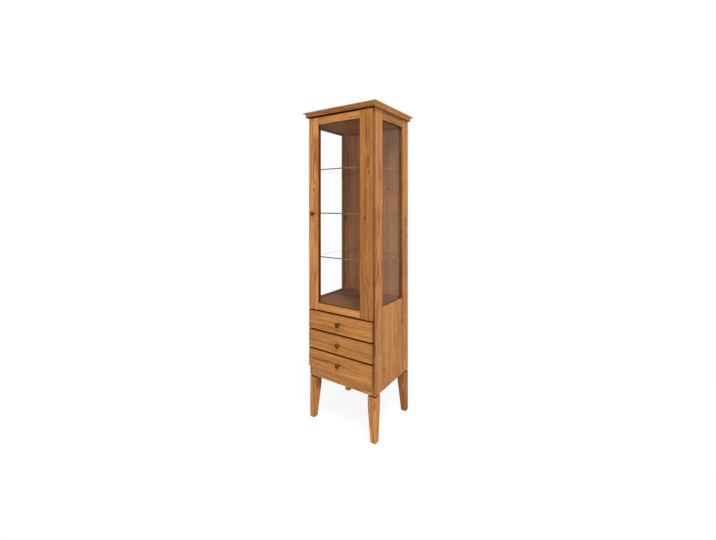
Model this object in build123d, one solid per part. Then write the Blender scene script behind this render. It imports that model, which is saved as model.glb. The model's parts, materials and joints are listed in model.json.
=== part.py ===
from build123d import *
import os

# A tall, narrow display cabinet in solid oak. It stands on four tapered legs, and has three
# drawers, a glazed compartment behind one glazed door, and a moulded cornice.
# Millimetres, +Z up. The door faces -Y. The origin is on the floor, under the middle of the
# cabinet's overall width and depth, knobs and cornice included.

# Overall sizes
total_height = 1900.0
case_width = 480.0
case_depth = 410.0
leg_height = 264.0
joint_clearance = 0.1
place_tolerance = 0.01

# Case boards
frame_thickness = 22.0
board_thickness = 20.0
side_stile_width = 80.0
side_top_rail_height = 55.0
back_thickness = 12.0
back_recess = 3.0
back_rebate_width = 10.0
back_edge_gap = 1.0
outer_edge_round = 2.5

# Levels inside the glazed compartment
floor_drop = 3.0
sill_height = 9.0

# Cornice
cornice_height = 30.0
cornice_side_overhang = 24.0
cornice_front_overhang = 40.0
cornice_width = 70.0
cornice_lip = 6.0
cornice_quirk = 1.0
cove_radius = 12.0
top_panel_thickness = 12.0
top_panel_seat = 12.0

# Door and drawer fronts
front_thickness = 22.0
front_inset = 10.0
front_gap = 6.0
front_clearance = 1.0
cornice_gap = 8.5
front_edge_round = 3.0
door_stile_width = 80.0
door_rail_width = 46.5
window_chamfer = 1.5

# Glass
glass_thickness = 4.0
door_glass_lip = 8.0
side_glass_lip = 12.0
rebate_width = 8.0
glass_edge_gap = 1.0
shelf_thickness = 6.0
shelf_pitch = 270.0
shelf_end_gap = 1.0
shelf_back_gap = 4.0
shelf_front_setback = 15.0

# Tenons of the door rails and of the side top rails
tenon_length = 40.0
tenon_thickness = 8.0
tenon_shoulder = 10.0

# Drawers
drawer_names = ["lower", "middle", "upper"]
drawer_front_height = 113.0
apron_show = 65.5
runner_rise = 7.0
runner_gap = 0.3
runner_width = 20.0
cross_rail_depth = 40.0
middle_rail_drop = 8.5
drawer_side_thickness = 12.0
drawer_side_height = 85.0
drawer_side_length = 350.0
drawer_side_gap = 1.0
drawer_housing = 8.0
drawer_bottom_thickness = 6.0
drawer_bottom_rise = 10.0
drawer_groove = 6.0
drawer_travel = 280.0
stop_width = 40.0
stop_overlap = 5.0
stop_gap = 0.5

# Legs
leg_size = 52.0
foot_size = 34.0
leg_taper_top = 207.0
leg_groove_height = 9.0
leg_groove_depth = 7.0
leg_edge_round = 2.0
foot_chamfer = 1.5

# Turned knobs
knob_diameter = 26.0
knob_projection = 25.0
knob_base_diameter = 16.0
knob_neck_diameter = 11.0
knob_neck_reach = 7.0
knob_widest_reach = 17.0
knob_base_step = 1.5
knob_flare_slope = 0.3
knob_crown_width_share = 0.72
knob_crown_rise = 1.2
knob_tenon_diameter = 8.0
knob_tenon_length = 15.0

# Door pivots
pivot_radius = 2.5
pivot_clearance = 0.05
pivot_from_edge = 6.5
pivot_from_back = 12.0
pivot_engagement = 12.0
pivot_float = 0.3
pivot_plate_length = 33.0
pivot_plate_width = 16.0
pivot_plate_edge = 5.0
door_plate_thickness = 2.5
case_plate_thickness = 3.0
pin_top_gap = 0.5
bush_wall = 2.0
bush_length = 14.0
bracket_drawer_gap = 0.5
bracket_leg_height = 45.0
hinge_edge_round = 3.0

# Screws
screw_clearance = 0.05
screw_tip_gap = 0.5
leg_screw_radius = 2.25
leg_screw_head_radius = 4.5
leg_screw_length = 45.0
leg_screw_low = 18.0
leg_screw_step = 16.0
plate_screw_radius = 1.5
plate_screw_head_radius = 2.8
plate_screw_length = 16.0
plate_screw_pitch = 11.0
bracket_screw_pitch = 24.0

# Shelf supports
pin_radius = 2.5
pin_depth = 9.0
pin_tongue_length = 10.0
pin_tongue_width = 8.0
pin_tongue_thickness = 3.0
pin_tongue_round = 2.5

# Magnetic catches
magnet_radius = 5.0
magnet_length = 5.0
catch_plate_radius = 6.0
catch_plate_thickness = 1.0
catch_from_inside = 28.0
lower_catch_rise = 15.0

# Places along X
half_case = case_width / 2
half_inner = half_case - frame_thickness
half_front = half_case - front_inset
half_cornice = half_case + cornice_side_overhang
half_window = half_front - door_stile_width
catch_x = catch_from_inside - half_inner

# Places along Y, from the knobs' tips at the front to the cornice's lip at the back
rear_overhang = cornice_side_overhang
front_reach = knob_projection + front_thickness + front_clearance
overall_depth = max(front_reach, cornice_front_overhang) + case_depth + rear_overhang
case_front = max(front_reach, cornice_front_overhang) - overall_depth / 2
case_back = case_front + case_depth
case_middle = (case_front + case_back) / 2
front_back_face = case_front - front_clearance
front_face = front_back_face - front_thickness
back_panel_front = case_back - back_recess - back_thickness
rail_back = case_front + frame_thickness
cross_rail_back = case_front + cross_rail_depth
window_front = case_front + side_stile_width
window_back = case_back - side_stile_width

# Levels along Z
case_top = total_height - cornice_height
fronts_bottom = leg_height + apron_show
front_pitch = drawer_front_height + front_gap
door_bottom = fronts_bottom + len(drawer_names) * front_pitch
door_top = case_top - cornice_gap
door_window_bottom = door_bottom + door_rail_width
door_window_top = door_top - door_rail_width
floor_top = door_window_bottom - floor_drop
side_window_bottom = floor_top + sill_height
side_window_top = case_top - side_top_rail_height
ceiling_bottom = side_window_top + sill_height
case_floor_top = fronts_bottom + runner_rise
case_floor_bottom = case_floor_top - board_thickness
door_middle = (door_bottom + door_top) / 2
shelf_middle = (floor_top + ceiling_bottom) / 2

# The door's pivot axis
pivot_x = half_front - pivot_from_edge
pivot_y = front_back_face - pivot_from_back


def block(x0, x1, y0, y1, z0, z1):
    """A box between two corners."""
    centre = Pos((x0 + x1) / 2, (y0 + y1) / 2, (z0 + z1) / 2)
    return centre * Box(x1 - x0, y1 - y0, z1 - z0)


def mirrored(shape):
    """The same shape on the cabinet's other side."""
    return mirror(shape, about=Plane.YZ)


def rod(start, direction, radius, length):
    """A round rod from a point, along a direction."""
    plane = Plane(origin=start, z_dir=direction)
    return plane.location * Cylinder(radius, length, align=(Align.CENTER, Align.CENTER, Align.MIN))


def screw(head, outward, radius, head_radius, length):
    """A countersunk screw with its head's flat face at a point, facing outward."""
    cone = head_radius - radius
    outline = Polyline(
        (0, 0),
        (head_radius, 0),
        (radius, -cone),
        (radius, radius - length),
        (0, -length),
        close=True,
    )
    turned = revolve(Plane.XZ * make_face(outline), axis=Axis.Z)
    return Plane(origin=head, z_dir=outward).location * turned


def screw_hole(head, outward, radius, head_radius, length):
    """The hole that a screw sits in."""
    return screw(
        head,
        outward,
        radius + screw_clearance,
        head_radius + screw_clearance,
        length + screw_tip_gap,
    )


def edges_at(shape, axis, **place):
    """The straight edges along an axis whose middles lie at the given coordinates."""
    found = []
    for edge in shape.edges().filter_by(axis):
        middle = edge.center()
        if all(abs(getattr(middle, name) - value) < place_tolerance for name, value in place.items()):
            found.append(edge)
    return found


def mitred_sticks(plane, half_width, half_height, stick, thickness):
    """Four flat sticks with mitred corners round a window, standing on a plane."""
    inner_width = half_width - stick
    inner_height = half_height - stick
    outer = [
        (-half_width, -half_height),
        (half_width, -half_height),
        (half_width, half_height),
        (-half_width, half_height),
    ]
    inner = [
        (-inner_width, -inner_height),
        (inner_width, -inner_height),
        (inner_width, inner_height),
        (-inner_width, inner_height),
    ]
    sticks = []
    for side in range(4):
        turn = (side + 1) % 4
        outline = Polyline(outer[side], outer[turn], inner[turn], inner[side], close=True)
        sticks.append(extrude(plane * make_face(outline), thickness))
    return sticks


def cornice_member(length):
    """One mitred moulding with its lip at Y 0, its underside at Z 0 and its middle at X 0."""
    lower_face = cornice_quirk + cove_radius
    cove_bottom = cornice_height - cornice_lip - cove_radius
    cove_top = cornice_height - cornice_lip
    seat = cornice_height - top_panel_thickness
    seat_edge = cornice_width - top_panel_seat
    outline = [
        Polyline(
            (lower_face, cove_bottom),
            (lower_face, 0),
            (cornice_width, 0),
            (cornice_width, seat),
            (seat_edge, seat),
            (seat_edge, cornice_height),
            (0, cornice_height),
            (0, cove_top),
            (cornice_quirk, cove_top),
        ),
        RadiusArc(
            (cornice_quirk, cove_top),
            (lower_face, cove_bottom),
            cove_radius,
        ),
    ]
    profile = make_face(outline)
    bar = extrude(Plane(origin=(-length / 2, 0, 0), x_dir=(0, 1, 0), z_dir=(1, 0, 0)) * profile, length)
    plan = Polyline(
        (-length / 2, 0),
        (length / 2, 0),
        (length / 2 - cornice_width, cornice_width),
        (cornice_width - length / 2, cornice_width),
        close=True,
    )
    return bar & extrude(make_face(plan), cornice_height)


def build_cornice():
    """Four mouldings mitred round the top, and the panel that lies in them."""
    lip_front = case_front - cornice_front_overhang
    lip_back = case_back + rear_overhang
    middle = (lip_front + lip_back) / 2
    wide = cornice_member(2 * half_cornice)
    deep = cornice_member(lip_back - lip_front)
    side = Pos(half_cornice, middle, case_top) * Rot(0, 0, 90) * deep
    seat = cornice_width - top_panel_seat + joint_clearance
    panel_low = total_height - top_panel_thickness
    front = Pos(0, lip_front, case_top) * wide
    for hole in upper_plate_holes():
        front -= hole
    return {
        "cornice_front": [front],
        "cornice_rear": [Pos(0, lip_back, case_top) * Rot(0, 0, 180) * wide],
        "cornice_right": [side],
        "cornice_left": [mirrored(side)],
        "top_panel": [
            block(
                seat - half_cornice,
                half_cornice - seat,
                lip_front + seat,
                lip_back - seat,
                panel_low,
                total_height,
            )
        ],
    }


def leg_screw_places():
    """Head points and directions of the two screws of the front right leg's post."""
    inner_x = half_case - leg_size
    inner_y = case_front + leg_size
    post_x = (inner_x + half_inner) / 2
    post_y = (inner_y + rail_back) / 2
    low = leg_height + leg_screw_low
    return [
        ((inner_x, post_y, low), (-1, 0, 0)),
        ((post_x, inner_y, low + leg_screw_step), (0, 1, 0)),
    ]


def in_four_corners(shape):
    """A shape of the front right corner, and the same in the other three corners."""
    back_plane = Plane(origin=(0, case_middle, 0), z_dir=(0, 1, 0))
    rear = mirror(shape, about=back_plane)
    return [shape, mirrored(shape), rear, mirrored(rear)]


def leg_screws():
    """The eight screws that hold the legs' posts to the case."""
    screws = []
    for head, outward in leg_screw_places():
        one = screw(head, outward, leg_screw_radius, leg_screw_head_radius, leg_screw_length)
        screws += in_four_corners(one)
    return screws


def leg_screw_holes():
    """The holes of the leg screws in the posts and in the case."""
    holes = []
    for head, outward in leg_screw_places():
        one = screw_hole(head, outward, leg_screw_radius, leg_screw_head_radius, leg_screw_length)
        holes += in_four_corners(one)
    return holes


def leg_section(size, inset, level):
    """A leg's square section with rounded corners, set in from the leg's outer corner."""
    middle = inset + size / 2
    return Pos(-middle, middle, level) * RectangleRounded(size, size, leg_edge_round)


def build_legs():
    """Legs with upright outer faces, tapered inner faces, a groove and a post in the case."""
    neck_bottom = leg_height - leg_groove_height
    neck_size = leg_size - 2 * leg_groove_depth
    sole = leg_section(foot_size - 2 * foot_chamfer, foot_chamfer, 0)
    foot = leg_section(foot_size, 0, foot_chamfer)
    thigh = leg_section(leg_size, 0, leg_taper_top)
    shape = loft([sole, foot], ruled=True) + loft([foot, thigh], ruled=True)
    shape += extrude(thigh, neck_bottom - leg_taper_top)
    shape += extrude(leg_section(neck_size, leg_groove_depth, neck_bottom), leg_groove_height)
    post = block(
        -leg_size,
        -frame_thickness,
        frame_thickness,
        leg_size,
        leg_height,
        case_floor_bottom,
    )
    leg = Pos(half_case, case_front, 0) * (shape + post)
    for head, outward in leg_screw_places():
        leg -= screw_hole(head, outward, leg_screw_radius, leg_screw_head_radius, leg_screw_length)
    front_right, front_left, rear_right, rear_left = in_four_corners(leg)
    return {
        "leg_front_right": [front_right],
        "leg_front_left": [front_left],
        "leg_rear_right": [rear_right],
        "leg_rear_left": [rear_left],
    }


def pin_places():
    """Heights of the shelves' undersides, and the two depths of their supports."""
    heights = []
    for step in (-1, 0, 1):
        heights.append(shelf_middle + step * shelf_pitch - shelf_thickness / 2)
    depths = [
        case_front + side_stile_width / 2,
        case_back - side_stile_width / 2,
    ]
    return heights, depths


def side_window_cut():
    """The rebate for glass and beads, on the inside of the right side's window."""
    return block(
        half_inner,
        half_case - side_glass_lip,
        window_front - rebate_width,
        window_back + rebate_width,
        side_window_bottom - rebate_width,
        side_window_top + rebate_width,
    )


def side_window_bevel():
    """The bevel round the outside of the right side's window."""
    outside = Plane(
        origin=(half_case, case_middle, (side_window_bottom + side_window_top) / 2),
        x_dir=(0, 1, 0),
        z_dir=(1, 0, 0),
    )
    wide = window_back - window_front
    tall = side_window_top - side_window_bottom
    narrow = Pos(0, 0, -window_chamfer) * Rectangle(wide, tall)
    full = Rectangle(wide + 2 * window_chamfer, tall + 2 * window_chamfer)
    return loft([outside * narrow, outside * full])


def build_sides():
    """Two framed sides: stiles, a top rail and a flush lower panel, each its own board."""
    rebate = side_window_cut()
    bevel = side_window_bevel()
    middle_x = (half_inner + half_case) / 2
    tenon = (
        middle_x - tenon_thickness / 2,
        middle_x + tenon_thickness / 2,
        window_front - tenon_length,
        window_back + tenon_length,
        side_window_top + tenon_shoulder,
        case_top - tenon_shoulder,
    )
    slack = joint_clearance
    mortise = block(
        tenon[0] - slack,
        tenon[1] + slack,
        tenon[2] - slack,
        tenon[3] + slack,
        tenon[4] - slack,
        tenon[5] + slack,
    )
    front_stile = block(half_inner, half_case, case_front, window_front, leg_height, case_top)
    front_stile = fillet(
        edges_at(front_stile, Axis.Z, X=half_case, Y=case_front),
        outer_edge_round,
    )
    rear_stile = block(half_inner, half_case, window_back, case_back, leg_height, case_top)
    rear_stile = fillet(
        edges_at(rear_stile, Axis.Z, X=half_case, Y=case_back),
        outer_edge_round,
    )
    rear_stile -= block(
        half_inner,
        half_inner + back_rebate_width,
        back_panel_front,
        case_back,
        case_floor_top,
        case_top,
    )
    top_rail = block(half_inner, half_case, window_front, window_back, side_window_top, case_top)
    top_rail += block(*tenon)
    lower_panel = block(
        half_inner,
        half_case,
        window_front,
        window_back,
        leg_height,
        side_window_bottom,
    )
    cuts = [rebate, bevel] + leg_screw_holes()
    heights, depths = pin_places()
    for level in heights:
        for depth in depths:
            start = (half_inner - joint_clearance, depth, pin_centre(level))
            length = pin_depth + 2 * joint_clearance
            cuts.append(rod(start, (1, 0, 0), pin_radius + joint_clearance / 2, length))
    for cut in cuts:
        front_stile -= cut
        rear_stile -= cut
    front_stile -= mortise
    rear_stile -= mortise
    top_rail = top_rail - rebate - bevel
    lower_panel = lower_panel - rebate - bevel
    right_front_stile = front_stile - bracket_seat()
    for hole in bracket_screw_holes():
        right_front_stile -= hole
    return {
        "right_front_stile": [right_front_stile],
        "left_front_stile": [mirrored(front_stile)],
        "right_rear_stile": [rear_stile],
        "left_rear_stile": [mirrored(rear_stile)],
        "right_top_rail": [top_rail],
        "left_top_rail": [mirrored(top_rail)],
        "right_lower_panel": [lower_panel],
        "left_lower_panel": [mirrored(lower_panel)],
    }


def build_side_glass():
    """Fixed panes in the two sides, and the beads that hold them from inside."""
    reach = rebate_width - glass_edge_gap
    outer_face = half_case - side_glass_lip
    inner_face = outer_face - glass_thickness
    pane = block(
        inner_face,
        outer_face,
        window_front - reach,
        window_back + reach,
        side_window_bottom - reach,
        side_window_top + reach,
    )
    inside = Plane(
        origin=(half_inner, case_middle, (side_window_bottom + side_window_top) / 2),
        x_dir=(0, 1, 0),
        z_dir=(1, 0, 0),
    )
    beads = mitred_sticks(
        inside,
        (window_back - window_front) / 2 + rebate_width,
        (side_window_top - side_window_bottom) / 2 + rebate_width,
        rebate_width,
        inner_face - half_inner,
    )
    both = []
    for bead in beads:
        both += [bead, mirrored(bead)]
    return {
        "right_side_glass": [pane],
        "left_side_glass": [mirrored(pane)],
        "side_glazing_beads": both,
    }


def build_case_boards():
    """The boards and rails between the two sides."""
    ceiling = block(
        -half_inner,
        half_inner,
        case_front,
        back_panel_front,
        ceiling_bottom,
        ceiling_bottom + board_thickness,
    )
    glazed_floor = block(
        -half_inner,
        half_inner,
        case_front,
        back_panel_front,
        floor_top - board_thickness,
        floor_top,
    )
    case_floor = block(
        -half_inner,
        half_inner,
        rail_back,
        case_back - frame_thickness,
        case_floor_bottom,
        case_floor_top,
    )
    back_half = half_inner + back_rebate_width - back_edge_gap
    back = block(
        -back_half,
        back_half,
        back_panel_front,
        case_back - back_recess,
        case_floor_top,
        case_top,
    )
    front_rail = block(-half_inner, half_inner, case_front, rail_back, leg_height, case_floor_top)
    rear_rail = block(
        -half_inner,
        half_inner,
        case_back - frame_thickness,
        case_back,
        leg_height,
        case_floor_top,
    )
    for hole in leg_screw_holes():
        front_rail -= hole
        rear_rail -= hole
    cross_rails = [
        block(
            -half_inner,
            half_inner,
            case_front,
            rail_back,
            ceiling_bottom + board_thickness,
            case_top,
        ),
        block(
            -half_inner,
            half_inner,
            case_front,
            cross_rail_back,
            middle_rail_bottom(),
            floor_top - board_thickness,
        ),
    ]
    runners = []
    for level in runner_levels()[1:]:
        cross_rails.append(
            block(
                -half_inner,
                half_inner,
                case_front,
                cross_rail_back,
                level - board_thickness,
                level,
            )
        )
        runner = block(
            half_inner - runner_width,
            half_inner,
            cross_rail_back,
            case_back - frame_thickness,
            level - board_thickness,
            level,
        )
        runners += [runner, mirrored(runner)]
    upper_seat, lower_seat = catch_magnets(joint_clearance / 2)
    ceiling -= upper_seat
    cross_rails[1] -= lower_seat
    return {
        "ceiling_panel": [ceiling],
        "compartment_floor": [glazed_floor],
        "case_floor": [case_floor],
        "back_panel": [back],
        "front_bottom_rail": [front_rail],
        "rear_bottom_rail": [rear_rail],
        "front_cross_rails": cross_rails,
        "drawer_runners": runners,
    }


def middle_rail_bottom():
    """The underside of the rail between the drawers and the door."""
    return door_bottom - front_gap - middle_rail_drop


def runner_levels():
    """The levels that the three drawers slide on, from the lowest up."""
    levels = []
    for number in range(len(drawer_names)):
        levels.append(fronts_bottom + number * front_pitch + runner_rise)
    return levels


def build_drawer_stops():
    """Blocks behind the rails that catch each drawer's back when it is pulled out."""
    back_face = front_back_face + drawer_side_length - drawer_side_thickness
    stop_back = back_face - drawer_travel - stop_gap
    stops = []
    rail_tops = runner_levels()[1:] + [floor_top - board_thickness]
    for level, rail_top in zip(runner_levels(), rail_tops):
        drawer_top = level + runner_gap + drawer_side_height
        stops.append(
            block(
                -stop_width / 2,
                stop_width / 2,
                cross_rail_back,
                stop_back,
                drawer_top - stop_overlap,
                rail_top - runner_gap,
            )
        )
    return {"drawer_stops": stops}


def build_shelves():
    """Three glass shelves and their twelve supports."""
    heights, depths = pin_places()
    front_edge = case_front + shelf_front_setback
    shelves = {}
    supports = []
    for name, level in zip(("lower", "middle", "upper"), heights):
        half = half_inner - shelf_end_gap
        shelf = block(
            -half,
            half,
            front_edge,
            back_panel_front - shelf_back_gap,
            level,
            level + shelf_thickness,
        )
        shelves[name + "_glass_shelf"] = [shelf]
        for depth in depths:
            support = shelf_support(depth, level)
            supports += [support, mirrored(support)]
    shelves["shelf_pins"] = supports
    return shelves


def pin_centre(level):
    """The height of a support's round shank below a shelf's underside."""
    return level - pin_tongue_thickness + pin_radius / 2


def shelf_support(depth, level):
    """A round shank in the stile, and a flat tongue that the shelf lies on."""
    tongue = block(
        half_inner - pin_tongue_length,
        half_inner,
        depth - pin_tongue_width / 2,
        depth + pin_tongue_width / 2,
        level - pin_tongue_thickness,
        level,
    )
    tip = half_inner - pin_tongue_length
    tongue = fillet(edges_at(tongue, Axis.Z, X=tip), pin_tongue_round)
    collar = rod((half_inner, depth, pin_centre(level)), (1, 0, 0), pin_radius, pin_depth)
    return tongue + collar


def door_frame_cuts():
    """The rebate for glass and beads at the back, and the bevel at the front."""
    rebate = block(
        -half_window - rebate_width,
        half_window + rebate_width,
        front_face + door_glass_lip,
        front_back_face,
        door_window_bottom - rebate_width,
        door_window_top + rebate_width,
    )
    outside = Plane(
        origin=(0, front_face, (door_window_bottom + door_window_top) / 2),
        x_dir=(1, 0, 0),
        z_dir=(0, -1, 0),
    )
    tall = door_window_top - door_window_bottom
    narrow = Pos(0, 0, -window_chamfer) * Rectangle(2 * half_window, tall)
    full = Rectangle(2 * (half_window + window_chamfer), tall + 2 * window_chamfer)
    return rebate, loft([outside * narrow, outside * full])


def rounded_front(shape, skip=()):
    """A board with the outer edges of its front face rounded, but for the sides named."""
    face = shape.faces().sort_by(Axis.Y)[0]
    box = shape.bounding_box()
    places = {
        "left": ("X", box.min.X),
        "right": ("X", box.max.X),
        "low": ("Z", box.min.Z),
        "high": ("Z", box.max.Z),
    }
    chosen = []
    for name, (letter, value) in places.items():
        if name in skip:
            continue
        for edge in face.edges():
            if abs(getattr(edge.center(), letter) - value) < place_tolerance:
                chosen.append(edge)
    return fillet(chosen, front_edge_round)


def build_door():
    """The door's frame, jointed at the corners, with its pane and beads."""
    rebate, bevel = door_frame_cuts()
    middle_y = (front_face + front_back_face) / 2
    pieces = {}
    mortises = []
    for name, low, high, inner in (
        ("top", door_window_top, door_top, "low"),
        ("bottom", door_bottom, door_window_bottom, "high"),
    ):
        rail = block(-half_window, half_window, front_face, front_back_face, low, high)
        rail = rounded_front(rail, skip=("left", "right", inner))
        tenon = (
            -half_window - tenon_length,
            half_window + tenon_length,
            middle_y - tenon_thickness / 2,
            middle_y + tenon_thickness / 2,
            low + tenon_shoulder,
            high - tenon_shoulder,
        )
        slack = joint_clearance
        mortises.append(
            block(
                tenon[0] - slack,
                tenon[1] + slack,
                tenon[2] - slack,
                tenon[3] + slack,
                tenon[4] - slack,
                tenon[5] + slack,
            )
        )
        rail = rail + block(*tenon)
        pieces["door_" + name + "_rail"] = [rail - rebate - bevel]
    stile = block(half_window, half_front, front_face, front_back_face, door_bottom, door_top)
    stile = rounded_front(stile, skip=("left",))
    for cut in mortises + [rebate, bevel]:
        stile -= cut
    left = mirrored(stile)
    left -= knob_seat((handle_x(), front_face, door_middle))
    for seat in catch_plates(joint_clearance / 2):
        left -= seat
    right = fillet(
        edges_at(stile, Axis.Z, X=half_front, Y=front_back_face),
        hinge_edge_round,
    )
    right -= door_plate(joint_clearance)
    right -= rod(
        (pivot_x, pivot_y, door_bottom - joint_clearance),
        (0, 0, 1),
        pivot_radius + pivot_clearance + bush_wall,
        bush_length + 2 * joint_clearance,
    )
    pieces["door_left_stile"] = [left]
    pieces["door_right_stile"] = [right]
    reach = rebate_width - glass_edge_gap
    glass_front = front_face + door_glass_lip
    glass_back = glass_front + glass_thickness
    pieces["door_glass"] = [
        block(
            -half_window - reach,
            half_window + reach,
            glass_front,
            glass_back,
            door_window_bottom - reach,
            door_window_top + reach,
        )
    ]
    inside = Plane(
        origin=(0, front_back_face, (door_window_bottom + door_window_top) / 2),
        x_dir=(1, 0, 0),
        z_dir=(0, -1, 0),
    )
    pieces["door_glazing_beads"] = mitred_sticks(
        inside,
        half_window + rebate_width,
        (door_window_top - door_window_bottom) / 2 + rebate_width,
        rebate_width,
        front_back_face - glass_back,
    )
    pieces["door_knob"] = [knob((handle_x(), front_face, door_middle))]
    pieces["catch_plates"] = catch_plates(0)
    return pieces


def handle_x():
    """The middle of the door's left stile."""
    return door_stile_width / 2 - half_front


def knob(place):
    """A turned knob, base on the front's face, with its round tenon in the front."""
    base = knob_base_diameter / 2
    neck = knob_neck_diameter / 2
    widest = knob_diameter / 2
    peg = knob_tenon_diameter / 2
    crown = (knob_widest_reach + knob_projection) / 2
    outline = [
        Polyline(
            (0, knob_projection),
            (0, -knob_tenon_length),
            (peg, -knob_tenon_length),
            (peg, 0),
            (base, 0),
            (base, knob_base_step),
        ),
        TangentArc((base, knob_base_step), (neck, knob_neck_reach), tangent=(-1, knob_flare_slope)),
        Spline(
            (neck, knob_neck_reach),
            (widest, knob_widest_reach),
            tangents=((0, 1), (0, 1)),
        ),
        Spline(
            (widest, knob_widest_reach),
            (widest * knob_crown_width_share, crown + knob_crown_rise),
            (0, knob_projection),
            tangents=((0, 1), (-1, 0)),
        ),
    ]
    turned = revolve(make_face(outline), axis=Axis.Y)
    return Pos(*place) * Rot(180, 0, 0) * turned


def knob_seat(place):
    """The hole for a knob's tenon, from the front's face inwards."""
    x, y, z = place
    start = (x, y - joint_clearance, z)
    radius = knob_tenon_diameter / 2 + joint_clearance / 2
    return rod(start, (0, 1, 0), radius, knob_tenon_length + 2 * joint_clearance)


def plate_outline(low, high, grow=0):
    """A pivot plate's block, wider by grow all round."""
    right = pivot_x + pivot_plate_edge
    return block(
        right - pivot_plate_length - grow,
        right + grow,
        pivot_y - pivot_plate_width / 2 - grow,
        pivot_y + pivot_plate_width / 2 + grow,
        low,
        high,
    )


def door_plate(grow=0):
    """The plate let into the top of the door's right stile."""
    return plate_outline(door_top - door_plate_thickness, door_top, grow)


def upper_plate_screw_places():
    """Head points of the two screws of the plate under the cornice."""
    low = case_top - case_plate_thickness
    first = pivot_x + pivot_plate_edge - pivot_plate_length + pivot_plate_edge
    return [(first, pivot_y, low), (first + plate_screw_pitch, pivot_y, low)]


def upper_plate_holes():
    """Screw holes of the plate under the cornice."""
    holes = []
    for place in upper_plate_screw_places():
        holes.append(
            screw_hole(
                place,
                (0, 0, -1),
                plate_screw_radius,
                plate_screw_head_radius,
                plate_screw_length,
            )
        )
    return holes


def bracket_levels():
    """Underside and top of the lower bracket's tongue, between the drawer and the door."""
    return door_bottom - front_gap + bracket_drawer_gap, door_bottom - pivot_float


def bracket_span():
    """The lower bracket's two sides."""
    return pivot_x - pivot_plate_edge, pivot_x + pivot_plate_edge


def bracket_leg(grow=0):
    """The upright of the lower bracket, let into the case's front edge."""
    low, high = bracket_levels()
    left, right = bracket_span()
    depth = high - low
    return block(
        left - grow,
        right + grow,
        case_front,
        case_front + depth,
        low - bracket_leg_height - grow,
        high + grow,
    )


def bracket_seat():
    """The recess in the case's front edge for the lower bracket."""
    return bracket_leg(joint_clearance)


def bracket_screw_places():
    """Head points of the two screws of the lower bracket."""
    low = bracket_levels()[0]
    middle = low - bracket_leg_height / 2
    return [
        (pivot_x, case_front, middle + bracket_screw_pitch / 2),
        (pivot_x, case_front, middle - bracket_screw_pitch / 2),
    ]


def bracket_screw_holes():
    """Screw holes of the lower bracket."""
    holes = []
    for place in bracket_screw_places():
        holes.append(
            screw_hole(
                place,
                (0, -1, 0),
                plate_screw_radius,
                plate_screw_head_radius,
                plate_screw_length,
            )
        )
    return holes


def build_pivots():
    """The door's pivots: a plate and a bracket on the case, a pin plate and a bush on the door."""
    upper = plate_outline(case_top - case_plate_thickness, case_top)
    upper -= rod(
        (pivot_x, pivot_y, case_top - case_plate_thickness - joint_clearance),
        (0, 0, 1),
        pivot_radius + pivot_clearance,
        case_plate_thickness + 2 * joint_clearance,
    )
    for hole in upper_plate_holes():
        upper -= hole
    low, high = bracket_levels()
    left, right = bracket_span()
    tongue = block(left, right, pivot_y, case_front + high - low, low, high)
    nose = rod((pivot_x, pivot_y, low), (0, 0, 1), pivot_plate_edge, high - low)
    pin = rod((pivot_x, pivot_y, high), (0, 0, 1), pivot_radius, pivot_engagement)
    lower = tongue + nose + pin + bracket_leg()
    for hole in bracket_screw_holes():
        lower -= hole
    pin_top = case_top - pin_top_gap
    door_pin = rod((pivot_x, pivot_y, door_top), (0, 0, 1), pivot_radius, pin_top - door_top)
    bush_radius = pivot_radius + pivot_clearance + bush_wall - joint_clearance / 2
    bush = rod((pivot_x, pivot_y, door_bottom), (0, 0, 1), bush_radius, bush_length)
    bush -= rod(
        (pivot_x, pivot_y, door_bottom - joint_clearance),
        (0, 0, 1),
        pivot_radius + pivot_clearance,
        bush_length + 2 * joint_clearance,
    )
    return {
        "pivot_brackets": [upper, lower],
        "door_pivot_fittings": [door_plate() + door_pin, bush],
    }


def build_screws():
    """All the screws of the case."""
    screws = leg_screws()
    for place in upper_plate_screw_places():
        screws.append(
            screw(
                place,
                (0, 0, -1),
                plate_screw_radius,
                plate_screw_head_radius,
                plate_screw_length,
            )
        )
    for place in bracket_screw_places():
        screws.append(
            screw(
                place,
                (0, -1, 0),
                plate_screw_radius,
                plate_screw_head_radius,
                plate_screw_length,
            )
        )
    return {"case_screws": screws}


def catch_heights():
    """The levels of the upper and the lower magnetic catch."""
    return [ceiling_bottom + board_thickness / 2, door_bottom + lower_catch_rise]


def catch_magnets(grow):
    """Round magnets let into the case's front, flush with it."""
    magnets = []
    for level in catch_heights():
        start = (catch_x, case_front, level)
        magnets.append(rod(start, (0, 1, 0), magnet_radius + grow, magnet_length + grow))
    return magnets


def catch_plates(grow):
    """Steel discs let into the door's back, facing the magnets."""
    plates = []
    for level in catch_heights():
        start = (catch_x, front_back_face, level)
        thick = catch_plate_thickness + grow
        plates.append(rod(start, (0, -1, 0), catch_plate_radius + grow, thick))
    return plates


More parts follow.
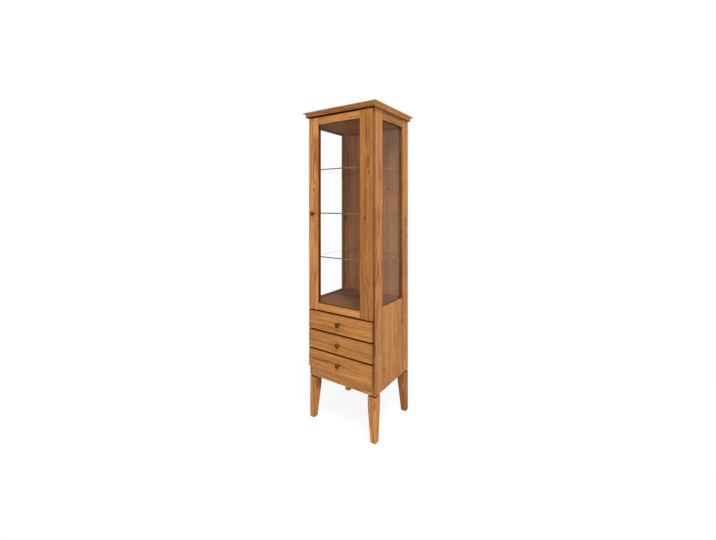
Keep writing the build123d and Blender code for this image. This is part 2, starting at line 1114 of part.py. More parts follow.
def build_drawer(name, number):
    """One drawer: an overlay front, two sides, a back, a bottom and a knob."""
    low = fronts_bottom + number * front_pitch
    high = low + drawer_front_height
    base = low + runner_rise + runner_gap
    top = base + drawer_side_height
    outer = half_inner - drawer_side_gap
    inner = outer - drawer_side_thickness
    rear = front_back_face + drawer_side_length
    slack = joint_clearance
    bottom_low = base + drawer_bottom_rise
    bottom_high = bottom_low + drawer_bottom_thickness
    bottom_half = inner + drawer_groove
    bottom_front = front_back_face - drawer_groove
    groove = block(
        -bottom_half - slack,
        bottom_half + slack,
        bottom_front - slack,
        rear + slack,
        bottom_low - slack,
        bottom_high + slack,
    )
    side = block(inner, outer, front_back_face - drawer_housing, rear, base, top)
    housing = block(
        inner - slack,
        outer + slack,
        front_back_face - drawer_housing - slack,
        front_back_face,
        base - slack,
        top + slack,
    )
    front = block(-half_front, half_front, front_face, front_back_face, low, high)
    front = rounded_front(front)
    front = front - housing - mirrored(housing) - groove
    middle = (low + high) / 2
    front -= knob_seat((0, front_face, middle))
    side -= groove
    back = block(-inner, inner, rear - drawer_side_thickness, rear, bottom_high, top)
    bottom = block(-bottom_half, bottom_half, bottom_front, rear, bottom_low, bottom_high)
    return {
        name + "_drawer_front": [front],
        name + "_drawer_sides": [side, mirrored(side)],
        name + "_drawer_back": [back],
        name + "_drawer_bottom": [bottom],
        name + "_drawer_knob": [knob((0, front_face, middle))],
    }


def build_all():
    """Every piece by name, each a list of separate solids."""
    pieces = {}
    pieces.update(build_cornice())
    pieces.update(build_legs())
    pieces.update(build_sides())
    pieces.update(build_side_glass())
    pieces.update(build_case_boards())
    pieces.update(build_drawer_stops())
    pieces.update(build_shelves())
    pieces.update(build_pivots())
    pieces.update(build_screws())
    pieces["catch_magnets"] = catch_magnets(0)
    pieces.update(build_door())
    for number, name in enumerate(drawer_names):
        pieces.update(build_drawer(name, number))
    return pieces


os.makedirs("parts", exist_ok=True)
for piece_name, shapes in build_all().items():
    solids = []
    for shape in shapes:
        solids += shape.solids()
    piece = solids[0] if len(solids) == 1 else Compound(children=solids)
    piece.label = piece_name
    export_step(piece, "parts/" + piece_name + ".step")
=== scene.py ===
import json
import math

import bmesh
import bpy
import numpy as np
from bpy.props import FloatProperty, FloatVectorProperty, IntProperty, PointerProperty
from mathutils import Matrix, Vector

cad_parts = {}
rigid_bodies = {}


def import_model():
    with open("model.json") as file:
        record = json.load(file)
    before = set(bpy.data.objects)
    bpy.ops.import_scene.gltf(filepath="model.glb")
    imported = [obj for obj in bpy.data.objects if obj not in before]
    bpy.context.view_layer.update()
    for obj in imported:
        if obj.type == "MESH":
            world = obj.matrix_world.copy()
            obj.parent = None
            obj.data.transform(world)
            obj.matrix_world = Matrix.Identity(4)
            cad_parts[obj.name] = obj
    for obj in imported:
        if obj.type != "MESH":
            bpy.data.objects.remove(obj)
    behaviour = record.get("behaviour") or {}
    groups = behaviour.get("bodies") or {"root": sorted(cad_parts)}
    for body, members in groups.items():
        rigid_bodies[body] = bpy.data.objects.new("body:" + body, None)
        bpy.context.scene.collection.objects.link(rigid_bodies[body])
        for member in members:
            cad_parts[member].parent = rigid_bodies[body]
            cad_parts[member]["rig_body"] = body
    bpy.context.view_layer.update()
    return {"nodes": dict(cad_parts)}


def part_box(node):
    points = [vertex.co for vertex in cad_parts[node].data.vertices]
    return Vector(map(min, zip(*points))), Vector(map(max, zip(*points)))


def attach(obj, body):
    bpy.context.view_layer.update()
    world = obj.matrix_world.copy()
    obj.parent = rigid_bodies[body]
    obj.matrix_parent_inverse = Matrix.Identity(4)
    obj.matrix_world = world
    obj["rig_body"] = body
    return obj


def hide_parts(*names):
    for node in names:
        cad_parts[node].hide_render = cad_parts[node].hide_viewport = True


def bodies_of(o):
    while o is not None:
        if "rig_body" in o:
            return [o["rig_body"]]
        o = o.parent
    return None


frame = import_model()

# A tall, narrow display cabinet in knotty oak: four tapered legs, three drawers, a glazed
# compartment with a glazed door and glass shelves, and a moulded cornice.
# Metres, +Z up, the door faces -Y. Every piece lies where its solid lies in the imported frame.

bl_info = {
    "name": "Oak display cabinet",
    "version": (1, 0, 0),
    "blender": (4, 5, 0),
    "location": "3D View > Sidebar > Cabinet",
    "description": "Dresses an oak display cabinet with eased boards, turned knobs, glass and brass",
    "category": "Object",
}


def screen(red, green, blue):
    """A colour as light, from the 0 to 255 numbers that a screen shows it with.

    Each channel c becomes ((c / 255 + 0.055) / 1.055) to the power 2.4.
    """
    return tuple(((c / 255 + 0.055) / 1.055) ** 2.4 for c in (red, green, blue))


def colour(name, description, value):
    """A colour that a user can change."""
    kind = {"size": 3, "min": 0.0, "max": 1.0, "subtype": "COLOR"}
    return FloatVectorProperty(name=name, description=description, default=value, **kind)


def amount(name, description, value, **kind):
    """A number, never under 0, that a user can change."""
    return FloatProperty(name=name, description=description, default=value, min=0.0, **kind)


def length(name, description, value):
    """A size in metres that a user can change."""
    return amount(name, description, value, precision=4, unit="LENGTH", subtype="DISTANCE")


class CABINET_PG_wood(bpy.types.PropertyGroup):
    """Colours and figure of the oak."""

    pale: colour("Pale oak", "Palest streaks between the growth rings", screen(209, 153, 93))
    honey: colour("Honey oak", "The usual colour of the oiled boards", screen(190, 130, 70))
    brown: colour("Brown oak", "Darker streaks and the rings' early wood", screen(163, 103, 51))
    deep: colour("Deep oak", "The darkest grain, and the wood round a knot", screen(103, 57, 24))
    knot: colour("Knot", "The heart of a knot", screen(52, 27, 14))
    # Painted shade: narrow faces beside gaps, in the window reveals, under the cornice and in the
    # legs' grooves are darkened towards this colour as if shaded
    seam: colour("Seam", "Narrow faces beside a gap, dark with oil and dust", screen(72, 20, 0))
    turned: colour("Turned oak", "The darker oak of the knobs", screen(112, 59, 4))
    # Painted light and shade: the next two colours are not a different oak; they set the boards
    # inside the case and the ceiling to how they look in the light that reaches them
    inner: colour("Inner oak", "The oak inside the glazed compartment", screen(206, 144, 92))
    ceiling: colour("Ceiling oak", "The redder oak over the compartment", screen(210, 134, 72))
    ring_width: length("Ring width", "Wood that the tree grew in one year", 0.0031)
    ease: length("Eased edge", "How far each board's sharp edges are taken off", 0.0007)
    shortest_edge: length("Shortest eased edge", "Edges shorter than this stay sharp", 0.012)


class CABINET_PG_glass(bpy.types.PropertyGroup):
    """Colours of the panes and shelves."""

    clear: colour("Clear glass", "Light that one pane lets through", (0.995, 1.0, 0.998))
    lit: colour("Light past a pane", "Lamp light that one pane lets through", (0.8, 0.81, 0.8))
    # Painted reflection: the next two colours are what a shelf's edge would mirror and let through,
    # painted into its colour: dark at the left, warm from the oak at the right
    edge: colour("Glass edge", "What a shelf's edge gathers at the left", screen(24, 26, 30))
    warm_edge_reflection: colour("Warm edge", "The same at the right, by the oak", screen(148, 105, 72))


class CABINET_PG_metal(bpy.types.PropertyGroup):
    """Colours of the fittings."""

    brass: colour("Brass", "Pivots and shelf supports", screen(148, 112, 58))
    dull_brass: colour("Dull brass", "Brass where it has tarnished", screen(92, 62, 30))
    steel: colour("Steel", "Screws, magnets and catch plates", screen(176, 176, 178))
    dull_steel: colour("Dull steel", "Steel where it has dulled", screen(120, 118, 116))


class CABINET_PG_turning(bpy.types.PropertyGroup):
    """Sizes of the knobs, of the painted shade in the groove over each leg and of the cornice's
    moulding.
    """

    knob_rows: IntProperty(name="Knob rings", description="Rings along a knob", default=144, min=40)
    knob_turns: IntProperty(name="Knob sides", description="Faces round a knob", default=72, min=12)
    knob_groove: length("Knob groove", "Depth of the fine line turned into a knob", 0.0005)
    # Painted shade: the height of the band at the top of each leg that is darkened as the groove's
    # shade
    leg_groove: length("Leg groove", "Height of the dark groove between leg and case", 0.009)
    cornice_lip: length("Cornice lip", "Height of the flat edge along the top", 0.006)
    cornice_quirk: length("Cornice quirk", "Step between the flat edge and the hollow", 0.001)
    cornice_cove: length("Cornice hollow", "Radius of the hollow under the flat edge", 0.012)
    cornice_ease: length("Cornice eased edge", "Radius along the cornice's sharp edges", 0.0008)


class CABINET_PG_studio(bpy.types.PropertyGroup):
    """The camera, the lamps and the floor."""

    camera_place: FloatVectorProperty(
        name="Camera",
        description="Where the camera stands",
        default=(1.2366, -1.8458, 1.3264),
        size=3,
        unit="LENGTH",
        subtype="XYZ",
    )
    camera_turn: FloatProperty(
        name="Camera turn",
        description="How far the camera is turned from looking along +Y",
        default=math.radians(33.63),
        subtype="ANGLE",
    )
    focal_length: amount("Focal length", "For a picture 36 mm wide", 17.52, unit="CAMERA")
    sky: amount("Sky", "Soft light from all round", 0.55)
    key: amount("Key lamp", "High in front", 260.0, unit="POWER")
    fill: amount("Fill lamp", "Low in front, for the legs", 50.0, unit="POWER")
    back: amount("Back lamp", "Behind the cabinet", 60.0, unit="POWER")
    floor: colour("Floor", "The floor, as it throws light back", (0.5, 0.5, 0.5))
    floor_shade: colour("Floor shade", "How much a shadow on the floor shows", (0.17, 0.17, 0.17))
    floor_lift: amount("Floor lift", "How bright the floor is in full shadow", 0.84)
    floor_reach: length("Floor reach", "Where the floor has faded into the backdrop", 3.6)


# Nodes and materials

WHITE = (1.0, 1.0, 1.0)


class Wire:
    """What comes out of a node. Sums and products of wires add nodes that work them out."""

    def __init__(self, plan, socket):
        self.plan = plan
        self.socket = socket

    def __add__(self, other):
        return self.plan.number("ADD", self, other)

    def __radd__(self, other):
        return self.plan.number("ADD", other, self)

    def __sub__(self, other):
        return self.plan.number("SUBTRACT", self, other)

    def __rsub__(self, other):
        return self.plan.number("SUBTRACT", other, self)

    def __mul__(self, other):
        return self.plan.number("MULTIPLY", self, other)

    def __truediv__(self, other):
        return self.plan.number("DIVIDE", self, other)

    def __abs__(self):
        return self.plan.number("ABSOLUTE", self)


class Plan:
    """Puts nodes into a material or a group, one call for each, and gives what comes out.

    The nodes are laid out in rows, in the order in which they are made.
    """

    columns = 10
    column_width = 200
    row_height = 300

    def __init__(self, tree):
        self.tree = tree
        tree.nodes.clear()

    def node(self, kind, inputs=(), **settings):
        """A new node with its settings made and its inputs, by name or number, joined or set."""
        made = self.tree.nodes.new(kind)
        row, column = divmod(len(self.tree.nodes), self.columns)
        made.location = (self.column_width * column, -self.row_height * row)
        for name, value in settings.items():
            setattr(made, name, value)
        for name, value in dict(inputs).items():
            self.feed(made.inputs[name], value)
        return made

    def feed(self, socket, value):
        """Joins a wire to a socket, or sets the socket."""
        if isinstance(value, Wire):
            self.tree.links.new(value.socket, socket)
        elif socket.type == "RGBA" and len(value) == 3:
            socket.default_value = (*value, 1.0)
        else:
            socket.default_value = value

    def out(self, node, name):
        """The wire from one output of a node."""
        return Wire(self, node.outputs[name])

    def place(self):
        """Where a point lies in the object."""
        return self.out(self.node("ShaderNodeTexCoord"), "Object")

    def number(self, operation, *values, clamp=False):
        """One sum on numbers."""
        inputs = dict(enumerate(values))
        made = self.node("ShaderNodeMath", inputs, operation=operation, use_clamp=clamp)
        return self.out(made, "Value")

    def split(self, vector):
        """The three numbers of a vector."""
        made = self.node("ShaderNodeSeparateXYZ", {"Vector": vector})
        return [self.out(made, name) for name in "XYZ"]

    def join(self, x, y, z):
        """A vector from three numbers."""
        made = self.node("ShaderNodeCombineXYZ", {"X": x, "Y": y, "Z": z})
        return self.out(made, "Vector")

    def noise(self, place, detail=2.0, roughness=0.5, scale=1.0):
        """Cloudy noise, mostly between 0.3 and 0.7."""
        inputs = {"Vector": place, "Scale": scale, "Detail": detail, "Roughness": roughness}
        made = self.node("ShaderNodeTexNoise", inputs, noise_dimensions="3D")
        return self.out(made, "Fac")

    def scatter(self, place):
        """Three numbers drawn by lot for each different place."""
        made = self.node("ShaderNodeTexWhiteNoise", {"Vector": place}, noise_dimensions="3D")
        return self.split(self.out(made, "Color"))

    def step(self, value, low, high, start=0.0, end=1.0):
        """A soft step from start to end as the value goes from low to high."""
        inputs = {"Value": value, "From Min": low, "From Max": high, "To Min": start, "To Max": end}
        made = self.node("ShaderNodeMapRange", inputs, interpolation_type="SMOOTHSTEP")
        return self.out(made, "Result")

    def fall(self, value, low, high):
        """A soft step down from 1 to 0 as the value goes from low to high."""
        return self.step(value, low, high, 1.0, 0.0)

    def blend(self, share, first, second, how="MIX"):
        """Two colours mixed: a share of 1 gives the second. Sockets 6 and 7 take the colours."""
        inputs = {0: share, 6: first, 7: second}
        made = self.node("ShaderNodeMix", inputs, data_type="RGBA", blend_type=how)
        return self.out(made, 2)

    def ramp(self, value, stops):
        """A colour read off a row of (position, colour) stops, along a smooth curve."""
        made = self.node("ShaderNodeValToRGB", {"Fac": value})
        made.color_ramp.interpolation = "B_SPLINE"
        stop_row = made.color_ramp.elements
        while len(stop_row) < len(stops):
            stop_row.new(0.5)
        for stop, (position, tint) in zip(stop_row, stops):
            stop.position = position
            stop.color = (*tint, 1.0)
        return self.out(made, "Color")

    def bump(self, strength, distance, height):
        """The direction that a face seems to look in, bent by a fine relief."""
        inputs = {"Strength": strength, "Distance": distance, "Height": height}
        return self.out(self.node("ShaderNodeBump", inputs), "Normal")

    def shader(self, kind, inputs=()):
        """What a new shader gives."""
        return self.out(self.node(kind, inputs), 0)

    def either(self, share, first, second):
        """Two shaders mixed: a share of 1 gives the second."""
        return self.shader("ShaderNodeMixShader", {"Fac": share, 1: first, 2: second})

    def show(self, shader, kind="ShaderNodeOutputMaterial"):
        """Ends the nodes with the shader that the surface, or the world, shows."""
        self.node(kind, {"Surface": shader})


def new_material(name):
    """A material with no nodes yet, and the plan that puts them in."""
    material = bpy.data.materials.new(name)
    material.use_nodes = True
    return material, Plan(material.node_tree)


AXES = {"x": Vector((1, 0, 0)), "y": Vector((0, 1, 0)), "z": Vector((0, 0, 1))}


def board_place(plan, centre, grain, across):
    """Where a point lies in a board: along its grain, across it and through it, from its middle."""
    along, wide = AXES[grain], AXES[across]
    turn = Matrix((along, wide, along.cross(wide))).transposed()
    inputs = {"Vector": plan.place(), "Location": centre, "Rotation": turn.to_euler()}
    return plan.out(plan.node("ShaderNodeMapping", inputs, vector_type="TEXTURE"), "Vector")


KNOT_INPUTS = ("Knot A", "Knot B", "Knot C")
FIGURE_INPUTS = {
    "Vector": ("Place", "Half size", "Heart", *KNOT_INPUTS, "Gap shade", "Groove"),
    "Float": ("Seed", "Stave", "Stave length", "Tone", "Variety", "Figure", "Wear"),
    "Color": ("Stain and light tint",),
}
FIGURE_OUTPUTS = {"Color": ("Colour",), "Float": ("Roughness",), "Vector": ("Normal",)}

# Noises drawn out along the grain: how many times a metre each changes along the grain and
# across it, how many finer noises it has in it, and how strong those are
NOISES = {
    "bend": (1.4, 9.0, 3.0, 0.5),
    "bend_again": (1.1, 7.0, 2.0, 0.5),
    "streak": (1.3, 30.0, 4.0, 0.6),
    "cloud": (4.0, 11.0, 2.0, 0.5),
    "dash": (17.0, 170.0, 2.0, 0.55),
    "fibre": (14.0, 520.0, 3.0, 0.6),
    "pore": (48.0, 1500.0, 1.0, 0.5),
    "rubbed": (24.0, 60.0, 2.0, 0.5),
}
# Further off than any board reaches, in metres or in knot sizes
FAR = 9.0
# How far into a face, in metres, each of these is whole, and how far in it has gone:
# the painted shade beside gaps at a board's sides and at its ends, the end grain and the edge wear
SIDE_GAP_SHADE = (0.0014, 0.0036)
END_GAP_SHADE = (0.0008, 0.0026)
END_GRAIN = (0.0002, 0.0006)
EDGE_WEAR = (0.0, 0.0035)
# How strongly noise makes worn edges wander in and out, in metres
RAGGED_WEAR = 0.006
# The painted shade in a groove has a soft edge for this far outside the groove and inside it, in
# metres
GROOVE_OUTSIDE, GROOVE_INSIDE = 0.0006, 0.0002


def knot_field(plan, given, u, v, ripple):
    """How far knots push the growth rings aside, and how many knot sizes off the nearest one is.

    A knot's distance is an oval one: the root of (0.72 along / size) squared plus
    (beside / size) squared. Its push falls off as exp(-0.16 distance squared).
    """
    swell = 0.0
    nearest = FAR
    for name in KNOT_INPUTS:
        knot_u, knot_v, size = plan.split(plan.out(given, name))
        along = (u - knot_u) / size * 0.72
        beside = (v - knot_v) / size
        distance = plan.number("SQRT", along * along + beside * beside)
        push = plan.number("EXPONENT", distance * distance * -0.16)
        swell = push * size * 1.5 + swell
        nearest = plan.number("MINIMUM", distance + (ripple - 0.5) * 0.5, nearest)
    return swell, nearest


def painted_gap_shade(plan, given, u, v, gap_u, half_v):
    """How much painted shade darkens the narrow faces at either side, the ends and a groove across
    the grain.
    """
    low_share, high_share, end_share = plan.split(plan.out(given, "Gap shade"))
    groove_low, groove_high, groove_share = plan.split(plan.out(given, "Groove"))
    seam = plan.fall(half_v + v, *SIDE_GAP_SHADE) * low_share
    seam = seam + plan.fall(half_v - v, *SIDE_GAP_SHADE) * high_share
    seam = seam + plan.fall(gap_u, *END_GAP_SHADE) * end_share
    groove = plan.step(u, groove_low - GROOVE_OUTSIDE, groove_low + GROOVE_INSIDE)
    groove = groove * plan.fall(u, groove_high - GROOVE_INSIDE, groove_high + GROOVE_OUTSIDE)
    return plan.number("ADD", seam, groove * groove_share, clamp=True)


def oak_figure(wood):
    """Oak as a solid that boards are sawn from, shared by every wooden piece.

    A board is glued up from staves. Each stave has growth rings round a heart line that runs
    along the grain: ring number = distance from the heart line / ring width. Slow noise bends
    the rings, and each knot pushes them aside. The early wood at a ring's start is dark and
    full of pores, streaks of colour follow the grain, and rays stand out from the heart line.
    """
    tree = bpy.data.node_groups.new("oak_figure", "ShaderNodeTree")
    plan = Plan(tree)
    for side, sockets in (("INPUT", FIGURE_INPUTS), ("OUTPUT", FIGURE_OUTPUTS)):
        for kind, names in sockets.items():
            for name in names:
                tree.interface.new_socket(name, in_out=side, socket_type="NodeSocket" + kind)
    given = plan.node("NodeGroupInput")
    seed = plan.out(given, "Seed")
    u, v, w = plan.split(plan.out(given, "Place"))
    half_u, half_v, half_w = plan.split(plan.out(given, "Half size"))
    heart_v, heart_w = plan.split(plan.out(given, "Heart"))[1:]

    # staves, each with its own luck
    strip_number = plan.number("FLOOR", v / plan.out(given, "Stave") + seed * 0.37)
    strip_luck = plan.scatter(plan.join(strip_number, seed, 3.0))
    piece_number = plan.number("FLOOR", u / plan.out(given, "Stave length") + strip_luck[0] * 5.0)
    luck = plan.scatter(plan.join(strip_number, piece_number, seed))
    shift = luck[0] * 7.0 + seed * 1.7

    def grained(name, start=shift, depth=0.0):
        """One of the noises along the grain, moved along it and through it."""
        along, across, detail, roughness = NOISES[name]
        place = plan.join(u * along + start, v * across, w * across + depth)
        return plan.noise(place, detail, roughness)

    ripple = plan.noise(plan.join((u + shift) * 160.0, v * 210.0, w * 210.0), 2.0)
    swell, nearest = knot_field(plan, given, u, v, ripple)

    # growth rings, which lean and wander a little from stave to stave
    bend = grained("bend")
    bend_again = grained("bend_again", start=0.0 - shift, depth=4.0)
    lean = (luck[1] - 0.5) * 0.05
    ring_v = v - heart_v + (luck[2] - 0.5) * 0.06 + u * lean + (bend - 0.5) * 0.05
    ring_w = w - heart_w + (luck[1] - 0.5) * 0.03 + (bend_again - 0.5) * 0.03
    reach = plan.number("SQRT", ring_v * ring_v + ring_w * ring_w) - swell
    ring = reach / wood.ring_width + (bend_again - 0.5) * 2.0
    ring_number = plan.number("FLOOR", ring)
    ring_share = plan.number("FRACT", ring)
    ring_luck = plan.scatter(plan.join(ring_number, seed, piece_number))
    early = plan.step(ring_share, 0.0, 0.12) * plan.fall(ring_share, 0.2, 0.62)
    early = early * (ring_luck[0] * 0.7 + 0.3)

    # streaks, fibres, pores and rays along the grain
    streak = grained("streak", depth=reach * 20.0)
    cloud = grained("cloud")
    dash = grained("dash", start=0.0 - shift)
    fibre = grained("fibre")
    pore = plan.step(grained("pore"), 0.56, 0.7) * (early * 0.85 + 0.15)
    angle = plan.number("ARCTAN2", ring_w, ring_v)
    ray_noise = plan.noise(plan.join(u * 70.0, angle * 120.0, reach * 45.0 + shift), 1.0)
    ray = plan.step(ray_noise, 0.6, 0.72)

    # in a knot, a dark heart with rings and a crack, and a halo round it
    heart_of_knot = plan.fall(nearest, 0.5, 1.0)
    halo = plan.fall(nearest, 0.8, 2.6)
    knot_rings = plan.number("SINE", nearest * 26.0 + ripple * 9.0) * 0.5 + 0.5
    crack = plan.fall(abs(ripple - 0.5 + (v * 8.0)), 0.0, 0.02) * heart_of_knot

    # the tone is a sum of all these, each with the weight that it shows with
    tone = (streak - 0.5) * 1.2 + (cloud - 0.5) * 0.5 + (fibre - 0.5) * 0.45 + (dash - 0.5) * 0.85
    tone = tone + early * 0.42 + (ring_luck[1] - 0.5) * 0.24 - ray * 0.1 - 0.05
    tone = tone + (luck[0] - 0.5) * plan.out(given, "Variety")
    tone = tone * plan.out(given, "Figure") + plan.out(given, "Tone")
    tone = plan.number("ADD", tone + halo * 0.34, 0.36, clamp=True)
    stops = [(0.0, wood.pale), (0.38, wood.honey), (0.7, wood.brown), (1.0, wood.deep)]
    tint = plan.ramp(tone, stops)
    # some staves are redder, others yellower
    warm = plan.blend(luck[2], (1.03, 0.99, 0.9), (0.99, 0.96, 1.02))
    tint = plan.blend(0.8, tint, warm, "MULTIPLY")
    tint = plan.blend(pore * 0.5, tint, wood.deep)
    knot_tint = plan.blend(knot_rings * 0.7, wood.knot, wood.deep)
    tint = plan.blend(heart_of_knot * 0.9, tint, knot_tint)
    tint = plan.blend(crack * 0.8, tint, wood.knot)

    # worn edges and end grain, from how far inside the board the point is
    gap_u = half_u - abs(u)
    gap_v = half_v - abs(v)
    gap_w = half_w - abs(w)
    less = plan.number("MINIMUM", gap_v, gap_w)
    more = plan.number("MAXIMUM", gap_v, gap_w)
    from_edge = plan.number("MAXIMUM", less, plan.number("MINIMUM", more, gap_u))
    rubbed = grained("rubbed")
    wear = plan.fall(from_edge - (rubbed - 0.5) * RAGGED_WEAR, *EDGE_WEAR)
    wear = wear * plan.out(given, "Wear")
    tint = plan.blend(wear * 0.45, tint, wood.pale)
    end = plan.fall(gap_u, *END_GRAIN)
    tint = plan.blend(end * 0.25, tint, wood.deep, "MULTIPLY")

    # painted shade beside gaps, in the window reveals, under the cornice and in the legs' grooves
    seam = painted_gap_shade(plan, given, u, v, gap_u, half_v)
    tint = plan.blend(seam, tint, wood.seam)
    # a tint multiplies the colour: a stain on the knobs, painted light and shade on the boards
    # inside the case
    tint = plan.blend(1.0, tint, plan.out(given, "Stain and light tint"), "MULTIPLY")

    # roughness and relief are sums of the same kind
    shine = 0.5 + (fibre - 0.5) * 0.16 + pore * 0.22 + end * 0.15 + heart_of_knot * 0.05
    shine = shine - wear * 0.06 + (cloud - 0.5) * 0.12 + seam * 0.35
    height = 0.0 - pore * 0.8 - early * 0.3 + (fibre - 0.5) * 0.35 + ray * 0.06
    height = height - crack * 1.5 + (rubbed - 0.5) * 0.25
    normal = plan.bump(0.4, 0.00035, height)
    plan.node("NodeGroupOutput", {"Colour": tint, "Roughness": shine, "Normal": normal})


# Boards: grain and width directions, tone, colour seed, and knots as (along, across, size)
# in metres from the board's middle. Each tone sets how dark a board is; on the right top rail and
# the rear right leg it is painted shade, and on the compartment's floor and ceiling painted light
# and shade
BOARDS = {
    "left_front_stile": ("z", "y", 0.0, 1.0, [(0.31, -0.012, 0.004)]),
    "left_rear_stile": ("z", "y", -0.14, 2.0),
    "left_top_rail": ("y", "z", 0.2, 3.0),
    "left_lower_panel": ("z", "y", 0.02, 4.0, [(0.06, 0.05, 0.006)]),
    "right_front_stile": ("z", "y", 0.1, 5.0, [(0.11, -0.018, 0.003), (0.39, 0.009, 0.003)]),
    "right_rear_stile": ("z", "y", 0.1, 6.0, [(-0.469, -0.034, 0.007), (0.09, -0.034, 0.004)]),
    # painted shade: this rail's tone darkens it as the cornice's shadow would
    "right_top_rail": ("y", "z", 0.44, 7.0),
    "right_lower_panel": ("z", "y", 0.06, 8.0, [(0.162, -0.038, 0.004), (-0.124, -0.11, 0.004)]),
    "door_left_stile": ("z", "x", 0.06, 9.0, [(0.146, 0.002, 0.005), (-0.051, 0.0, 0.003)]),
    "door_right_stile": ("z", "x", 0.4, 10.0, [(-0.02, -0.006, 0.0045), (0.236, 0.02, 0.003)]),
    "door_top_rail": ("x", "z", 0.14, 11.0, [(0.084, -0.008, 0.003)]),
    "door_bottom_rail": ("x", "z", 0.0, 12.0),
    "upper_drawer_front": ("x", "z", 0.1, 13.0),
    "middle_drawer_front": ("x", "z", 0.18, 14.0, [(0.19, -0.01, 0.002)]),
    "lower_drawer_front": ("x", "z", 0.1, 15.0),
    "front_bottom_rail": ("x", "z", 0.04, 16.0),
    "rear_bottom_rail": ("x", "z", 0.06, 17.0),
    "leg_front_right": ("z", "x", -0.16, 18.0, [(0.08, -0.006, 0.004)]),
    "leg_front_left": ("z", "x", 0.1, 19.0, [(0.065, 0.01, 0.003)]),
    # painted shade: this leg's tone darkens it as the case's shadow would
    "leg_rear_right": ("z", "x", 0.34, 20.0),
    "leg_rear_left": ("z", "x", 0.02, 21.0),
    "back_panel": ("z", "x", 0.0, 22.0, [(0.33, 0.1, 0.004), (-0.15, 0.152, 0.004)]),
    "ceiling_panel": ("x", "y", 0.36, 23.0, [(0.08, 0.05, 0.006)]),
    "compartment_floor": ("x", "y", 0.6, 24.0, [(-0.1, -0.02, 0.006)]),
    "case_floor": ("x", "y", 0.08, 25.0),
    "top_panel": ("x", "y", 0.06, 26.0, [(-0.06, 0.05, 0.006), (0.12, -0.08, 0.005)]),
    "front_cross_rails": ("x", "y", 0.04, 27.0),
    "drawer_runners": ("y", "z", 0.04, 28.0),
    "drawer_stops": ("x", "z", 0.0, 29.0),
}
CORNICES = {
    "cornice_front": ("x", "z", 0.2, 31.5),
    "cornice_rear": ("x", "z", 0.1, 32.0),
    "cornice_left": ("y", "z", 0.1, 33.0),
    "cornice_right": ("y", "z", -0.06, 34.0),
}
# The boards of every drawer behind its front: grain and width directions, and tone
DRAWER_BOARDS = {
    "_sides": ("y", "z", -0.16),
    "_back": ("x", "z", -0.14),
    "_bottom": ("x", "y", -0.1),
}
BEADS = {
    "side_glazing_beads": ("z", "y", 0.75, 35.0),
    "door_glazing_beads": ("z", "x", 0.75, 36.0),
}
DRAWERS = ("upper_drawer", "middle_drawer", "lower_drawer")
KNOBS = ("door_knob", "upper_drawer_knob", "middle_drawer_knob", "lower_drawer_knob")
# Seeds of the first drawer's boards and of the first knob
DRAWER_SEED, KNOB_SEED = 40.0, 50.0
# How much painted shade darkens the narrow faces: at the low side across the board, the high side,
# and the ends.
# A cornice's low side is its underside. The painted shade stands in for the shade beside gaps, in
# the window reveals, under the cornice and on the front left leg's inner face
GAP_SHADES = {
    "left_front_stile": (0.25, 0.75, 0.0),
    "left_rear_stile": (0.25, 0.0, 0.0),
    "left_top_rail": (0.6, 0.0, 0.0),
    "left_lower_panel": (0.0, 0.8, 0.0),
    "right_front_stile": (0.42, 0.75, 0.0),
    "right_rear_stile": (0.6, 0.0, 0.0),
    "right_top_rail": (0.6, 0.0, 0.0),
    "right_lower_panel": (0.0, 1.0, 0.0),
    "door_left_stile": (0.0, 0.92, 0.3),
    "door_right_stile": (0.25, 0.1, 0.3),
    "door_top_rail": (0.8, 0.9, 0.0),
    "door_bottom_rail": (0.9, 0.8, 0.0),
    "upper_drawer_front": (0.9, 0.9, 0.35),
    "middle_drawer_front": (0.9, 0.9, 0.35),
    "lower_drawer_front": (0.0, 0.9, 0.35),
    "leg_front_left": (0.0, 0.45, 0.0),
    "cornice_front": (0.9, 0.0, 0.0),
    "cornice_rear": (0.9, 0.0, 0.0),
    "cornice_left": (0.65, 0.0, 0.0),
    "cornice_right": (0.65, 0.0, 0.0),
}
NO_KNOT = (FAR, FAR, 0.001)
NO_GAP_SHADE = (0.0, 0.0, 0.0)
NO_GROOVE = (FAR, FAR, 0.0)

# The usual width of a stave, its length in an upright board and in a lying one, in metres
STAVE_WIDTH, UPRIGHT_STAVE, LYING_STAVE = 0.055, 0.9, 4.0
# How much staves differ in tone in a board of several, and in a board of one
SEVERAL_DIFFER, ONE_DIFFERS = 0.2, 0.06
# How far the heart line lies off a board's middle, across it and through it, in metres
HEART_ASIDE, HEART_NEAR, HEART_FAR = 0.02, 0.045, 0.09
# How much light a tone of 1 takes, the power that each channel takes it with, and how far a
# tone of 1 goes along the row of oak colours
TONE_DEPTH, DARKENING, TONE_SHIFT = 0.75, (1.0, 1.15, 1.25), 0.15
USUAL_GLOSS = 0.14


def stained(wanted, usual):
    """The tint that turns the usual colour into the wanted one: their ratio in each channel."""
    return tuple(aim / start for aim, start in zip(wanted, usual))


